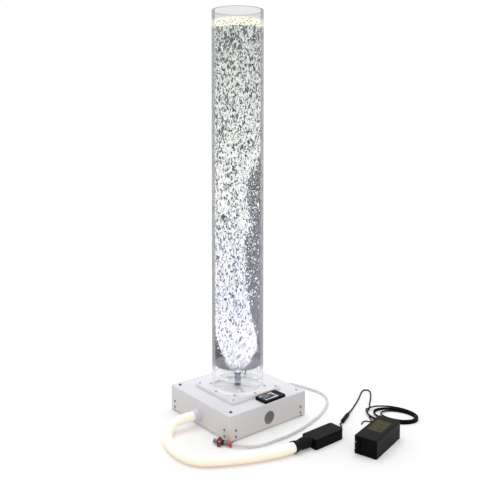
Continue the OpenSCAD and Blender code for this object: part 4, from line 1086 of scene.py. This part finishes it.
def seen(tree):
    """1 for camera, glossy and transmission rays, and 0 for those that light the object."""
    rays = tree.nodes.new("ShaderNodeLightPath")
    value = rays.outputs["Is Camera Ray"]
    for ray in ("Is Glossy Ray", "Is Transmission Ray"):
        either = tree.nodes.new("ShaderNodeMath")
        either.operation = "MAXIMUM"
        tree.links.new(value, either.inputs[0])
        tree.links.new(rays.outputs[ray], either.inputs[1])
        value = either.outputs[0]
    return value


def white_floor():
    """Floor that is seen as white and still shows the lamp's shadow."""
    floor = bpy.data.objects.new("floor", bpy.data.meshes.new("floor"))
    corners = [(x * FLOOR_HALF, y * FLOOR_HALF, 0) for x, y in ((-1, -1), (1, -1), (1, 1), (-1, 1))]
    floor.data.from_pydata(corners, [], [(0, 1, 2, 3)])
    scene.collection.objects.link(floor)
    material = bpy.data.materials.new("floor_white")
    material.use_nodes = True
    tree = material.node_tree
    tree.nodes.clear()
    out = tree.nodes.new("ShaderNodeOutputMaterial")
    diffuse = tree.nodes.new("ShaderNodeBsdfDiffuse")
    diffuse.inputs["Color"].default_value = (FLOOR_GREY, FLOOR_GREY, FLOOR_GREY, 1)
    glow = tree.nodes.new("ShaderNodeEmission")
    glow.inputs["Color"].default_value = (1, 1, 1, 1)
    strength = tree.nodes.new("ShaderNodeMath")
    strength.operation = "MULTIPLY"
    strength.inputs[1].default_value = FLOOR_GLOW
    add = tree.nodes.new("ShaderNodeAddShader")
    tree.links.new(seen(tree), strength.inputs[0])
    tree.links.new(strength.outputs[0], glow.inputs["Strength"])
    tree.links.new(diffuse.outputs[0], add.inputs[0])
    tree.links.new(glow.outputs[0], add.inputs[1])
    tree.links.new(add.outputs[0], out.inputs["Surface"])
    floor.data.materials.append(material)


def studio_world():
    """Even white surroundings."""
    world = bpy.data.worlds.new("studio")
    scene.world = world
    world.use_nodes = True
    tree = world.node_tree
    tree.nodes.clear()
    out = tree.nodes.new("ShaderNodeOutputWorld")
    back = tree.nodes.new("ShaderNodeBackground")
    back.inputs["Color"].default_value = (1, 1, 1, 1)
    level = tree.nodes.new("ShaderNodeMapRange")
    level.inputs[3].default_value = WORLD_LIGHT
    level.inputs[4].default_value = 1.0
    tree.links.new(seen(tree), level.inputs[0])
    tree.links.new(level.outputs[0], back.inputs["Strength"])
    tree.links.new(back.outputs[0], out.inputs["Surface"])


def overhead_light():
    sun = bpy.data.lights.new("overhead", "SUN")
    sun.energy = 0.95
    sun.angle = math.radians(50)
    o = bpy.data.objects.new("overhead", sun)
    o.rotation_euler = (math.radians(-14), math.radians(10), 0)
    scene.collection.objects.link(o)


white_floor()
studio_world()
overhead_light()

scene.view_settings.view_transform = "Standard"
